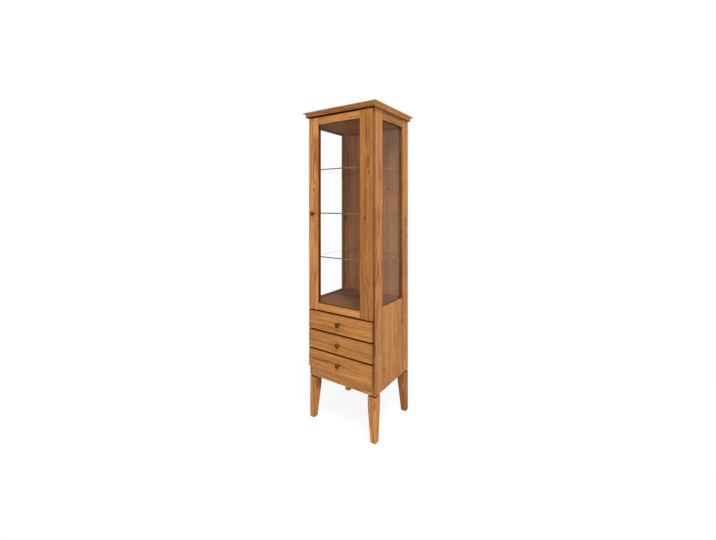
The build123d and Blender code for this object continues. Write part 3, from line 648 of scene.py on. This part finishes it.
def oak_board(node, grain, across, tone, seed, knots=(), **finish):
    """Oiled oak for one board, with its own heart line, staves, knots and painted shade beside its
    gaps.

    The finish may give the wear along edges, the gloss, how strong the figure is, a groove
    (from and to along the grain, and how dark the painted shade in it is) and a tint that
    multiplies the colour: a stain on the knobs, painted light and shade inside the case. A
    board's tone darkens it: red to the power 1, green to 1.15 and blue to 1.25 of
    1 - 0.75 tone.
    """
    low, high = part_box(node)
    centre, half = (low + high) / 2, (high - low) / 2
    along, wide = AXES[grain], AXES[across]
    half_size = [abs(half.dot(axis)) for axis in (along, wide, along.cross(wide))]
    width = 2 * half_size[1]
    strips = max(1, round(width / STAVE_WIDTH))
    draw = np.random.default_rng(int(seed * 10))
    heart_v = float(draw.uniform(-HEART_ASIDE, HEART_ASIDE))
    heart_w = float(draw.uniform(HEART_NEAR, HEART_FAR))
    depth = 1.0 - TONE_DEPTH * tone
    stain = finish.get("stain", WHITE)
    material, plan = new_material("oak_" + node)
    inputs = {
        "Place": board_place(plan, centre, grain, across),
        "Half size": half_size,
        "Heart": (0.0, heart_v, heart_w),
        "Seed": seed,
        "Stave": width / strips,
        "Stave length": UPRIGHT_STAVE if grain == "z" else LYING_STAVE,
        "Tone": tone * TONE_SHIFT,
        "Variety": SEVERAL_DIFFER if strips > 1 else ONE_DIFFERS,
        "Figure": finish.get("figure", 1.0),
        "Wear": finish.get("wear", 1.0),
        "Gap shade": GAP_SHADES.get(node, NO_GAP_SHADE),
        "Groove": finish.get("groove", NO_GROOVE),
        "Stain and light tint": [share * depth**power for share, power in zip(stain, DARKENING)],
    }
    inputs.update(zip(KNOT_INPUTS, [*knots, NO_KNOT, NO_KNOT, NO_KNOT]))
    figure = bpy.data.node_groups["oak_figure"]
    grown = plan.node("ShaderNodeGroup", inputs, node_tree=figure)
    look = {
        "Base Color": plan.out(grown, "Colour"),
        "Roughness": plan.out(grown, "Roughness"),
        "Normal": plan.out(grown, "Normal"),
        "Specular IOR Level": finish.get("gloss", USUAL_GLOSS),
    }
    plan.show(plan.shader("ShaderNodeBsdfPrincipled", look))
    return material


def metal(name, bright, dull, roughness, scale):
    """Metal that has dulled in patches, so many a metre, with marks of wear 14 times as fine."""
    material, plan = new_material(name)
    place = plan.place()
    marks = plan.noise(place, 2.0, 0.5, scale * 14)
    dulled = plan.step(plan.noise(place, 4.0, 0.6, scale), 0.4, 0.62)
    look = {
        "Base Color": plan.blend(dulled * 0.75 + marks * 0.15, bright, dull),
        "Metallic": 1.0,
        "Roughness": roughness + dulled * 0.18 + (marks - 0.5) * 0.2,
        "Normal": plan.bump(0.2, 0.00008, marks),
    }
    plan.show(plan.shader("ShaderNodeBsdfPrincipled", look))
    return material


# How much each kind of glass bends light, and how strongly its rim shows a painted reflection
GLASS_KINDS = {"door_glass": (1.2, 0.0), "side_glass": (1.12, 0.0), "glass_shelf": (1.2, 0.95)}
# How far in from a shelf's rim its painted reflection shows, and how far to either side of the
# cabinet's middle the rim's two painted colours blend, in metres
RIM_DEPTH, RIM_TURN = 0.0012, 0.05


def glass(node, look, bend, painted_edge_share):
    """Clear glass with a faint bloom of dust and, on a shelf, edges with a painted reflection.

    The edges' painted reflection goes from dark at the left to warm, as from the oak, at the right.
    Light on its way from the lamps to what is behind goes straight through, less what two faces
    of glass throw back.
    """
    low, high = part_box(node)
    half_size, centre = (high - low) / 2, (high + low) / 2
    material, plan = new_material("clear_" + node)
    place = plan.place()
    numbers = plan.split(place)
    gaps = [
        half - abs(number - middle)
        for number, middle, half in zip(numbers, centre, half_size)
    ]
    lies_flat = half_size.z < half_size.x
    rim = plan.number("MINIMUM", gaps[0], gaps[1]) if lies_flat else gaps[2]
    # painted reflection: a shelf's rim takes the colour that it would mirror and let through
    painted_rim_share = plan.step(rim, 0.0, RIM_DEPTH, painted_edge_share, 0.0)
    smear = plan.noise(place, 3.0, 0.6, 9.0)
    dust = plan.noise(place, 2.0, 0.5, 160.0)
    to_the_right = plan.step(numbers[0], -RIM_TURN, RIM_TURN)
    edge = plan.blend(to_the_right, look.edge, look.warm_edge_reflection)
    inputs = {
        "Base Color": plan.blend(painted_rim_share, look.clear, edge),
        "Transmission Weight": 1.0 - painted_rim_share * 0.95,
        "IOR": bend,
        "Roughness": plan.step(smear, 0.5, 0.8, 0.0, 0.012) + (dust - 0.5) * 0.004 + 0.002,
    }
    surface = plan.shader("ShaderNodeBsdfPrincipled", inputs)
    through = plan.shader("ShaderNodeBsdfTransparent", {"Color": look.lit})
    light = plan.node("ShaderNodeLightPath")
    scattered = plan.either(plan.out(light, "Is Diffuse Ray"), surface, through)
    plan.show(plan.either(plan.out(light, "Is Shadow Ray"), scattered, through))
    return material


# Shapes

# Corners nearer than this are one, in metres
SAME_PLACE = 1e-6
# Faces that turn less than this are one flat face
FLAT = math.radians(0.4)
# Edges of a board that turn more than this are eased
CORNER = math.radians(40)
# Edges that turn more than this stay crisp, on boards and on turned or moulded pieces
BOARD_CREASE, SURFACE_CREASE = math.radians(35), math.radians(32)
# Endings of the nodes that have the record's finish for wood inside the case
INNER_NODES = ("drawer_sides", "drawer_back", "drawer_bottom", "case_floor", "rear_bottom_rail")
INNER_NODES += ("runners", "stops", "cross_rails")


def dress(node, material):
    """Gives a solid of the frame its finish, its shape kept as it is."""
    slots = frame["nodes"][node].data.materials
    slots.clear()
    slots.append(material)


def body_of(node):
    """The body that a solid of the frame rides on."""
    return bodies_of(frame["nodes"][node])[0]


def add_piece(name, mesh, material, node, crease):
    """Adds a mesh to the scene as the piece that stands for a solid.

    Edges that turn more than the crease stay sharp. Flat faces are shaded evenly, so that only
    the eased edges look round.
    """
    mesh.shade_smooth()
    mesh.set_sharp_from_angle(angle=crease)
    mesh.materials.clear()
    mesh.materials.append(material)
    piece = bpy.data.objects.new(name, mesh)
    bpy.context.scene.collection.objects.link(piece)
    weigh = piece.modifiers.new("even_faces", "WEIGHTED_NORMAL")
    weigh.keep_sharp = True
    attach(piece, body_of(node))
    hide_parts(node)


def eased_board(node, material, wood):
    """A copy of a board with its long sharp edges taken off by a small bevel.

    The copy's doubled corners are merged and its flat faces made whole, and the bevel is cut
    only along edges that are sharp and longer than the shortest.
    """
    mesh = frame["nodes"][node].data.copy()
    work = bmesh.new()
    work.from_mesh(mesh)
    bmesh.ops.remove_doubles(work, verts=work.verts, dist=SAME_PLACE)
    bmesh.ops.dissolve_limit(work, angle_limit=FLAT, verts=work.verts, edges=work.edges)
    sharp = [
        edge
        for edge in work.edges
        if len(edge.link_faces) == 2
        and edge.calc_length() > wood.shortest_edge
        and edge.calc_face_angle() > CORNER
    ]
    bmesh.ops.bevel(
        work,
        geom=sharp,
        offset=wood.ease,
        offset_type="OFFSET",
        segments=2,
        profile=0.5,
        affect="EDGES",
        clamp_overlap=False,
    )
    work.to_mesh(mesh)
    work.free()
    add_piece(node + "_wood", mesh, material, node, BOARD_CREASE)


def saw(context, nodes, **finish):
    """Eased boards for nodes in the table of boards, all with the same finish."""
    for node in nodes:
        eased_board(node, oak_board(node, *BOARDS[node], **finish), context.scene.cabinet_wood)


def ring_mesh(name, points, capped=False):
    """A mesh from a grid of points: rows along it, and columns that close round it.

    Each face joins points (i, j), (i, j + 1), (i + 1, j + 1) and (i + 1, j). A row at one place
    is merged to a pole, and a cap closes each end of a shape that has one.
    """
    rows, columns = points.shape[:2]
    index = np.arange(rows * columns).reshape(rows, columns)
    wrapped = np.concatenate([index, index[:, :1]], axis=1)
    corners = [wrapped[:-1, :-1], wrapped[:-1, 1:], wrapped[1:, 1:], wrapped[1:, :-1]]
    faces = np.stack(corners, axis=-1).reshape(-1, 4).tolist()
    if capped:
        faces += [index[0].tolist(), index[-1][::-1].tolist()]
    mesh = bpy.data.meshes.new(name)
    mesh.from_pydata(points.reshape(-1, 3), [], faces)
    work = bmesh.new()
    work.from_mesh(mesh)
    bmesh.ops.remove_doubles(work, verts=work.verts, dist=SAME_PLACE)
    bmesh.ops.recalc_face_normals(work, faces=work.faces)
    work.to_mesh(mesh)
    work.free()
    return mesh


# How far a knob stands out from its board and its tenon goes in, in metres
KNOB_STAND, TENON_DEPTH = 0.025, 0.015
# Radii of a knob's tenon, foot and neck, in metres
TENON, FOOT, NECK = 0.004, 0.008, 0.0055
# The knob is smoothed from this far out, and its crown starts here, in metres
SMOOTH_FROM, CROWN_FROM = 0.0022, 0.02
# Where the fine line runs, as a share of the widest radius, and half its width in metres
LINE_PLACE, LINE_HALF = 0.6, 0.0004


def knob_profile(widest):
    """A knob's section as points (radius, how far out): tenon, foot, neck, ring and crown."""
    return np.array(
        [
            (0.0, -TENON_DEPTH),
            (TENON, -TENON_DEPTH),
            (TENON, -0.0001),
            (FOOT - 0.0004, 0.0),
            (FOOT, 0.0004),
            (FOOT, 0.0013),
            (FOOT - 0.0006, 0.0018),
            (FOOT - 0.0018, 0.0029),
            (NECK + 0.0002, 0.0052),
            (NECK, 0.0072),
            (NECK + 0.0012, 0.0098),
            (NECK + 0.0037, 0.0122),
            (widest - 0.0014, 0.0141),
            (widest - 0.0002, 0.0160),
            (widest, 0.0170),
            (widest - 0.0003, 0.0187),
            (widest - 0.0017, 0.0208),
            (widest * 0.72, 0.0222),
            (widest * 0.5, 0.0236),
            (widest * 0.25, 0.0247),
            (0.0, KNOB_STAND),
        ]
    )


def turned_knob(node, material, turning):
    """A turned knob over the frame's own: P(t, a) = foot + (r(t) cos a, -s(t), r(t) sin a).

    s is how far the point stands out from the board and r its radius. The stem flares from the
    foot, swells to the widest ring and closes over a shallow crown. Each radius is averaged
    with its neighbours' as 1 : 2 : 1, and a fine line is turned round the crown, as deep as
    exp(-((r - line) / half its width) squared) of its depth.
    """
    low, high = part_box(node)
    axis = (low + high) / 2
    widest = (high.x - low.x) / 2
    front = low.y + KNOB_STAND
    profile = knob_profile(widest)
    reach = np.concatenate([[0.0], np.cumsum(np.hypot(*np.diff(profile, axis=0).T))])
    along = np.linspace(0.0, reach[-1], turning.knob_rows)
    radius = np.interp(along, reach, profile[:, 0])
    stand = np.interp(along, reach, profile[:, 1])
    average = np.convolve(np.pad(radius, 1, mode="edge"), [0.25, 0.5, 0.25], mode="valid")
    radius = np.where(stand > SMOOTH_FROM, average, radius)
    line = np.exp(-(((radius - widest * LINE_PLACE) / LINE_HALF) ** 2))
    stand = stand - np.where(stand > CROWN_FROM, turning.knob_groove * line, 0.0)
    radius[0] = radius[-1] = 0.0
    turn = np.linspace(0.0, 2 * math.pi, turning.knob_turns, endpoint=False)
    points = np.empty((len(along), len(turn), 3))
    points[..., 0] = axis.x + radius[:, None] * np.cos(turn)
    points[..., 1] = front - stand[:, None]
    points[..., 2] = axis.z + radius[:, None] * np.sin(turn)
    name = node + "_turned"
    add_piece(name, ring_mesh(name, points), material, node, SURFACE_CREASE)


# Points along an eased edge of the cornice and round its hollow
EASE_POINTS, COVE_POINTS = 6, 22


def cornice_outline(turning, height, width, seat_in, seat_low):
    """The moulding's section as points (in from the lip, up from the underside).

    From the underside's eased corner it runs up the fascia, round the hollow
    (quirk + R cos t, its foot + R sin t), out over the quirk, up the flat lip and over its
    eased corners, and down into the seat that the top panel lies on.
    """
    lip, quirk, cove = turning.cornice_lip, turning.cornice_quirk, turning.cornice_cove
    ease = turning.cornice_ease
    ease_turn = np.linspace(0.0, math.pi / 2, EASE_POINTS)
    cove_turn = np.linspace(0.0, math.pi / 2, COVE_POINTS)
    near, far = ease - ease * np.cos(ease_turn), ease - ease * np.sin(ease_turn)
    cove_top = height - lip
    low_corner = (quirk + cove + far, near)
    hollow = (quirk + cove * np.cos(cove_turn), cove_top - cove + cove * np.sin(cove_turn))
    lip_low = (far, cove_top + near)
    lip_top = (near, height - far)
    seat = ((seat_in, seat_in, width, width), (height, seat_low, seat_low, 0.0))
    runs = (low_corner, hollow, lip_low, lip_top, seat)
    return np.concatenate([np.stack(run, axis=1) for run in runs])


# Room between the cornice's seat and the edge of the top panel, in metres
SEAT_ROOM = 0.0001
# Rows of points along a side of the cornice, from mitre to mitre
CORNICE_ROWS = 25


def moulding(node, material, turning):
    """One side of the cornice, its section carried along it between two mitres.

    P(i, t) = lip line + inward * a_i + up * b_i, with t running from mitre to mitre: the ends
    draw in by a_i, so that each end lies on the plane at 45 degrees.
    """
    low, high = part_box(node)
    panel_low, panel_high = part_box("top_panel")
    run_axis, side_axis = (0, 1) if node in ("cornice_front", "cornice_rear") else (1, 0)
    near_low = node in ("cornice_front", "cornice_left")
    if near_low:
        seat_in = panel_low[side_axis] - low[side_axis] - SEAT_ROOM
    else:
        seat_in = high[side_axis] - panel_high[side_axis] - SEAT_ROOM
    height = high.z - low.z
    width = high[side_axis] - low[side_axis]
    outline = cornice_outline(turning, height, width, seat_in, panel_low.z - low.z)
    inward = outline[:, 0]
    share = np.linspace(0.0, 1.0, CORNICE_ROWS)[:, None]
    start, end = low[run_axis] + inward, high[run_axis] - inward
    points = np.empty((CORNICE_ROWS, len(outline), 3))
    points[..., run_axis] = (1 - share) * start + share * end
    points[..., side_axis] = low[side_axis] + inward if near_low else high[side_axis] - inward
    points[..., 2] = low.z + outline[:, 1]
    name = node + "_moulding"
    add_piece(name, ring_mesh(name, points, capped=True), material, node, SURFACE_CREASE)


# The studio

# Where the photo's optical axis lies off its middle, as shares of its width
LENS_SHIFT = (-0.0028, -0.0905)
SENSOR_WIDTH = 36.0
NEAREST_SEEN, FURTHEST_SEEN = 0.05, 60.0
# The middle of the cabinet, that the lamps point at
LAMP_AIM = Vector((0.0, 0.0, 0.95))
# Radius of the floor's first ring in metres, and how many rings and sides the floor has
FLOOR_START, FLOOR_RINGS, FLOOR_SIDES = 0.05, 40, 96
# From which share of its reach the floor fades, and from which it is all backdrop
FADE_FROM, FADE_TO = 0.1, 0.5


def white_rays(plan):
    """1 for what the camera sees straight, through glass or mirrored, and 0 for other light."""
    light = plan.node("ShaderNodeLightPath")
    straight, mirrored = plan.out(light, "Is Camera Ray"), plan.out(light, "Is Glossy Ray")
    seen = plan.number("MAXIMUM", straight, mirrored)
    return plan.number("MAXIMUM", seen, plan.out(light, "Is Transmission Ray"))


def floor_material(studio):
    """A matt floor that is seen nearly white, keeps shadows and fades into the backdrop."""
    material, plan = new_material("pale_floor")
    x, y = plan.split(plan.place())[:2]
    reach = plan.number("SQRT", x * x + y * y)
    fade = plan.step(reach, studio.floor_reach * FADE_FROM, studio.floor_reach * FADE_TO)
    matt = plan.shader("ShaderNodeBsdfDiffuse", {"Color": studio.floor})
    faint = plan.shader("ShaderNodeBsdfDiffuse", {"Color": studio.floor_shade})
    lift = plan.shader("ShaderNodeEmission", {"Strength": studio.floor_lift})
    backdrop = plan.shader("ShaderNodeEmission", {"Color": WHITE, "Strength": 1.0})
    lifted = plan.shader("ShaderNodeAddShader", {0: faint, 1: lift})
    plan.show(plan.either(white_rays(plan), matt, plan.either(fade, lifted, backdrop)))
    return material


def pale_floor(scene, studio):
    """A round floor: P(r, a) = (r cos a, -r sin a, 0), fading into the backdrop at its rim."""
    rings = np.geomspace(FLOOR_START, studio.floor_reach, FLOOR_RINGS)
    radius = np.concatenate([[0.0], rings])[:, None]
    turn = np.linspace(0.0, 2 * math.pi, FLOOR_SIDES, endpoint=False)
    points = np.zeros((FLOOR_RINGS + 1, FLOOR_SIDES, 3))
    points[..., 0] = radius * np.cos(turn)
    points[..., 1] = -radius * np.sin(turn)
    mesh = ring_mesh("floor", points)
    mesh.materials.append(floor_material(studio))
    piece = bpy.data.objects.new("floor", mesh)
    scene.collection.objects.link(piece)


def pale_room(scene, studio):
    """An even sky, that is seen as plain white."""
    world = bpy.data.worlds.new("pale_room")
    world.use_nodes = True
    plan = Plan(world.node_tree)
    sky = plan.shader("ShaderNodeBackground", {"Color": WHITE, "Strength": studio.sky})
    white = plan.shader("ShaderNodeBackground", {"Color": WHITE, "Strength": 1.0})
    plan.show(plan.either(white_rays(plan), sky, white), "ShaderNodeOutputWorld")
    scene.world = world


def soft_lamps(scene, studio):
    """A large lamp high in front, a low one for the legs and one behind.

    The lamps themselves aren't seen, only their light.
    """
    lamps = (
        ("key_lamp", (2.5, -2.5, 5.6), 2.2, studio.key),
        ("fill_lamp", (2.2, -3.4, 0.9), 2.4, studio.fill),
        ("back_lamp", (-0.6, 4.0, 2.6), 1.6, studio.back),
    )
    for name, place, size, watts in lamps:
        lamp = bpy.data.lights.new(name, "AREA")
        lamp.size = size
        lamp.energy = watts
        piece = bpy.data.objects.new(name, lamp)
        scene.collection.objects.link(piece)
        piece.location = place
        aim = LAMP_AIM - piece.location
        piece.rotation_euler = aim.to_track_quat("-Z", "Y").to_euler()
        piece.visible_camera = False
        piece.visible_transmission = False


def place_camera(scene, studio):
    """The camera stands level in front of the cabinet, to its right."""
    lens = bpy.data.cameras.new("camera")
    lens.sensor_width = SENSOR_WIDTH
    lens.lens = studio.focal_length
    lens.shift_x, lens.shift_y = LENS_SHIFT
    lens.clip_start = NEAREST_SEEN
    lens.clip_end = FURTHEST_SEEN
    camera = bpy.data.objects.new("camera", lens)
    scene.collection.objects.link(camera)
    camera.location = studio.camera_place
    camera.rotation_euler = (math.pi / 2, 0.0, studio.camera_turn)
    scene.camera = camera
    scene.view_settings.view_transform = "Standard"


# Operators, one for each piece or group of like pieces


def boards_named(*starts):
    """The nodes in the table of boards whose names start in one of these ways."""
    return [node for node in BOARDS if node.startswith(starts)]


class CABINET_OT_wood(bpy.types.Operator):
    """Grow the oak that every wooden piece is sawn from"""

    bl_idname = "cabinet.wood"
    bl_label = "Oak figure"

    def execute(self, context):
        oak_figure(context.scene.cabinet_wood)
        return {"FINISHED"}


class CABINET_OT_sides(bpy.types.Operator):
    """Saw the stiles, top rails and lower panels of the two sides"""

    bl_idname = "cabinet.sides"
    bl_label = "Sides"

    def execute(self, context):
        saw(context, boards_named("left_", "right_"))
        return {"FINISHED"}


class CABINET_OT_case(bpy.types.Operator):
    """Saw the boards and rails between the two sides, and the top panel"""

    bl_idname = "cabinet.case"
    bl_label = "Case"

    def execute(self, context):
        wood = context.scene.cabinet_wood
        inner = ["back_panel", "compartment_floor"]
        inner += ["front_cross_rails", "drawer_runners", "drawer_stops"]
        outer = ["front_bottom_rail", "rear_bottom_rail", "case_floor", "top_panel"]
        # painted light and shade: the boards inside the case and the ceiling are tinted to how they
        # look in their light, not to a different oak
        for nodes, tint in ((inner, wood.inner), (["ceiling_panel"], wood.ceiling)):
            stain = stained(tint, wood.honey)
            saw(context, nodes, wear=0.3, stain=stain, figure=0.6, gloss=0.01)
        saw(context, outer, wear=0.6)
        return {"FINISHED"}


class CABINET_OT_legs(bpy.types.Operator):
    """Saw the four tapered legs, each with painted shade in the groove under the case"""

    bl_idname = "cabinet.legs"
    bl_label = "Legs"

    def execute(self, context):
        groove_height = context.scene.cabinet_turning.leg_groove
        case_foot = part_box("front_bottom_rail")[0].z
        for node in boards_named("leg_"):
            low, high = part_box(node)
            top = case_foot - (low.z + high.z) / 2
            # painted shade: the top of each leg, in the groove under the case, is darkened towards
            # the gap shade colour
            saw(context, [node], wear=0.8, groove=(top - groove_height, top, 0.85))
        return {"FINISHED"}


class CABINET_OT_door(bpy.types.Operator):
    """Saw the door's stiles and rails"""

    bl_idname = "cabinet.door"
    bl_label = "Door frame"

    def execute(self, context):
        saw(context, boards_named("door_"))
        return {"FINISHED"}


class CABINET_OT_drawers(bpy.types.Operator):
    """Saw the drawers' fronts, sides, backs and bottoms"""

    bl_idname = "cabinet.drawers"
    bl_label = "Drawers"

    def execute(self, context):
        saw(context, [drawer + "_front" for drawer in DRAWERS])
        seed = DRAWER_SEED
        for drawer in DRAWERS:
            for ending, (grain, across, tone) in DRAWER_BOARDS.items():
                node = drawer + ending
                material = oak_board(node, grain, across, tone, seed, wear=0.7, gloss=0.12)
                eased_board(node, material, context.scene.cabinet_wood)
                seed += 1
        return {"FINISHED"}


class CABINET_OT_cornice(bpy.types.Operator):
    """Shape the four mitred mouldings of the cornice"""

    bl_idname = "cabinet.cornice"
    bl_label = "Cornice"

    def execute(self, context):
        for node, board in CORNICES.items():
            moulding(node, oak_board(node, *board, wear=0.7), context.scene.cabinet_turning)
        return {"FINISHED"}


class CABINET_OT_beads(bpy.types.Operator):
    """Finish the glazing beads round the panes"""

    bl_idname = "cabinet.beads"
    bl_label = "Glazing beads"

    def execute(self, context):
        for node, board in BEADS.items():
            dress(node, oak_board(node, *board, wear=0.0))
        return {"FINISHED"}


class CABINET_OT_knobs(bpy.types.Operator):
    """Turn the four knobs"""

    bl_idname = "cabinet.knobs"
    bl_label = "Knobs"

    def execute(self, context):
        wood = context.scene.cabinet_wood
        finish = {"wear": 0.0, "gloss": 0.06, "stain": stained(wood.turned, wood.honey)}
        for number, node in enumerate(KNOBS):
            material = oak_board(node, "y", "x", 0.1, KNOB_SEED + number, **finish)
            turned_knob(node, material, context.scene.cabinet_turning)
        return {"FINISHED"}


class CABINET_OT_glass(bpy.types.Operator):
    """Finish the door's pane, the side panes and the three shelves"""

    bl_idname = "cabinet.glass"
    bl_label = "Glass"

    def execute(self, context):
        look = context.scene.cabinet_glass
        for node in frame["nodes"]:
            for ending, (bend, painted_edge_share) in GLASS_KINDS.items():
                if node.endswith(ending):
                    dress(node, glass(node, look, bend, painted_edge_share))
        return {"FINISHED"}


class CABINET_OT_fittings(bpy.types.Operator):
    """Finish the pivots, shelf supports, screws, magnets and catch plates"""

    bl_idname = "cabinet.fittings"
    bl_label = "Fittings"

    def execute(self, context):
        look = context.scene.cabinet_metal
        brass = metal("brushed_brass", look.brass, look.dull_brass, 0.28, 60.0)
        steel = metal("zinced_steel", look.steel, look.dull_steel, 0.34, 90.0)
        for node in ("pivot_brackets", "door_pivot_fittings", "shelf_pins"):
            dress(node, brass)
        for node in ("case_screws", "catch_magnets", "catch_plates"):
            dress(node, steel)
        return {"FINISHED"}


class CABINET_OT_studio(bpy.types.Operator):
    """Set up the floor, the pale backdrop, the soft lamps and the camera"""

    bl_idname = "cabinet.studio"
    bl_label = "Studio"

    def execute(self, context):
        for set_up in (pale_floor, pale_room, soft_lamps, place_camera):
            set_up(context.scene, context.scene.cabinet_studio)
        return {"FINISHED"}


class CABINET_PT_panel(bpy.types.Panel):
    """Lists the cabinet's sizes, colours and pieces"""

    bl_idname = "CABINET_PT_panel"
    bl_label = "Oak display cabinet"
    bl_space_type = "VIEW_3D"
    bl_region_type = "UI"
    bl_category = "Cabinet"

    def draw(self, context):
        layout = self.layout
        for name, label in SETTINGS.values():
            box = layout.box()
            box.label(text=label)
            values = getattr(context.scene, name)
            for setting in values.__annotations__:
                box.prop(values, setting)
        for operator in OPERATORS:
            layout.operator(operator.bl_idname)


SETTINGS = {
    CABINET_PG_wood: ("cabinet_wood", "Oak"),
    CABINET_PG_glass: ("cabinet_glass", "Glass"),
    CABINET_PG_metal: ("cabinet_metal", "Fittings"),
    CABINET_PG_turning: ("cabinet_turning", "Turning and moulding"),
    CABINET_PG_studio: ("cabinet_studio", "Studio"),
}
OPERATORS = (
    CABINET_OT_wood,
    CABINET_OT_sides,
    CABINET_OT_case,
    CABINET_OT_legs,
    CABINET_OT_door,
    CABINET_OT_drawers,
    CABINET_OT_cornice,
    CABINET_OT_beads,
    CABINET_OT_knobs,
    CABINET_OT_glass,
    CABINET_OT_fittings,
    CABINET_OT_studio,
)


def register():
    """Makes the settings, the operators and the panel known to Blender."""
    for kind in (*SETTINGS, *OPERATORS, CABINET_PT_panel):
        bpy.utils.register_class(kind)
    for kind, (name, label) in SETTINGS.items():
        setattr(bpy.types.Scene, name, PointerProperty(type=kind, name=label))


def unregister():
    """Takes them away again."""
    for setting in SETTINGS.values():
        delattr(bpy.types.Scene, setting[0])
    for kind in (CABINET_PT_panel, *reversed(OPERATORS), *reversed(list(SETTINGS))):
        bpy.utils.unregister_class(kind)


def main():
    """Makes every piece in order."""
    register()
    bpy.ops.cabinet.wood()
    bpy.ops.cabinet.sides()
    bpy.ops.cabinet.case()
    bpy.ops.cabinet.legs()
    bpy.ops.cabinet.door()
    bpy.ops.cabinet.drawers()
    bpy.ops.cabinet.cornice()
    bpy.ops.cabinet.beads()
    bpy.ops.cabinet.knobs()
    bpy.ops.cabinet.glass()
    bpy.ops.cabinet.fittings()
    bpy.ops.cabinet.studio()


if __name__ == "__main__":
    main()
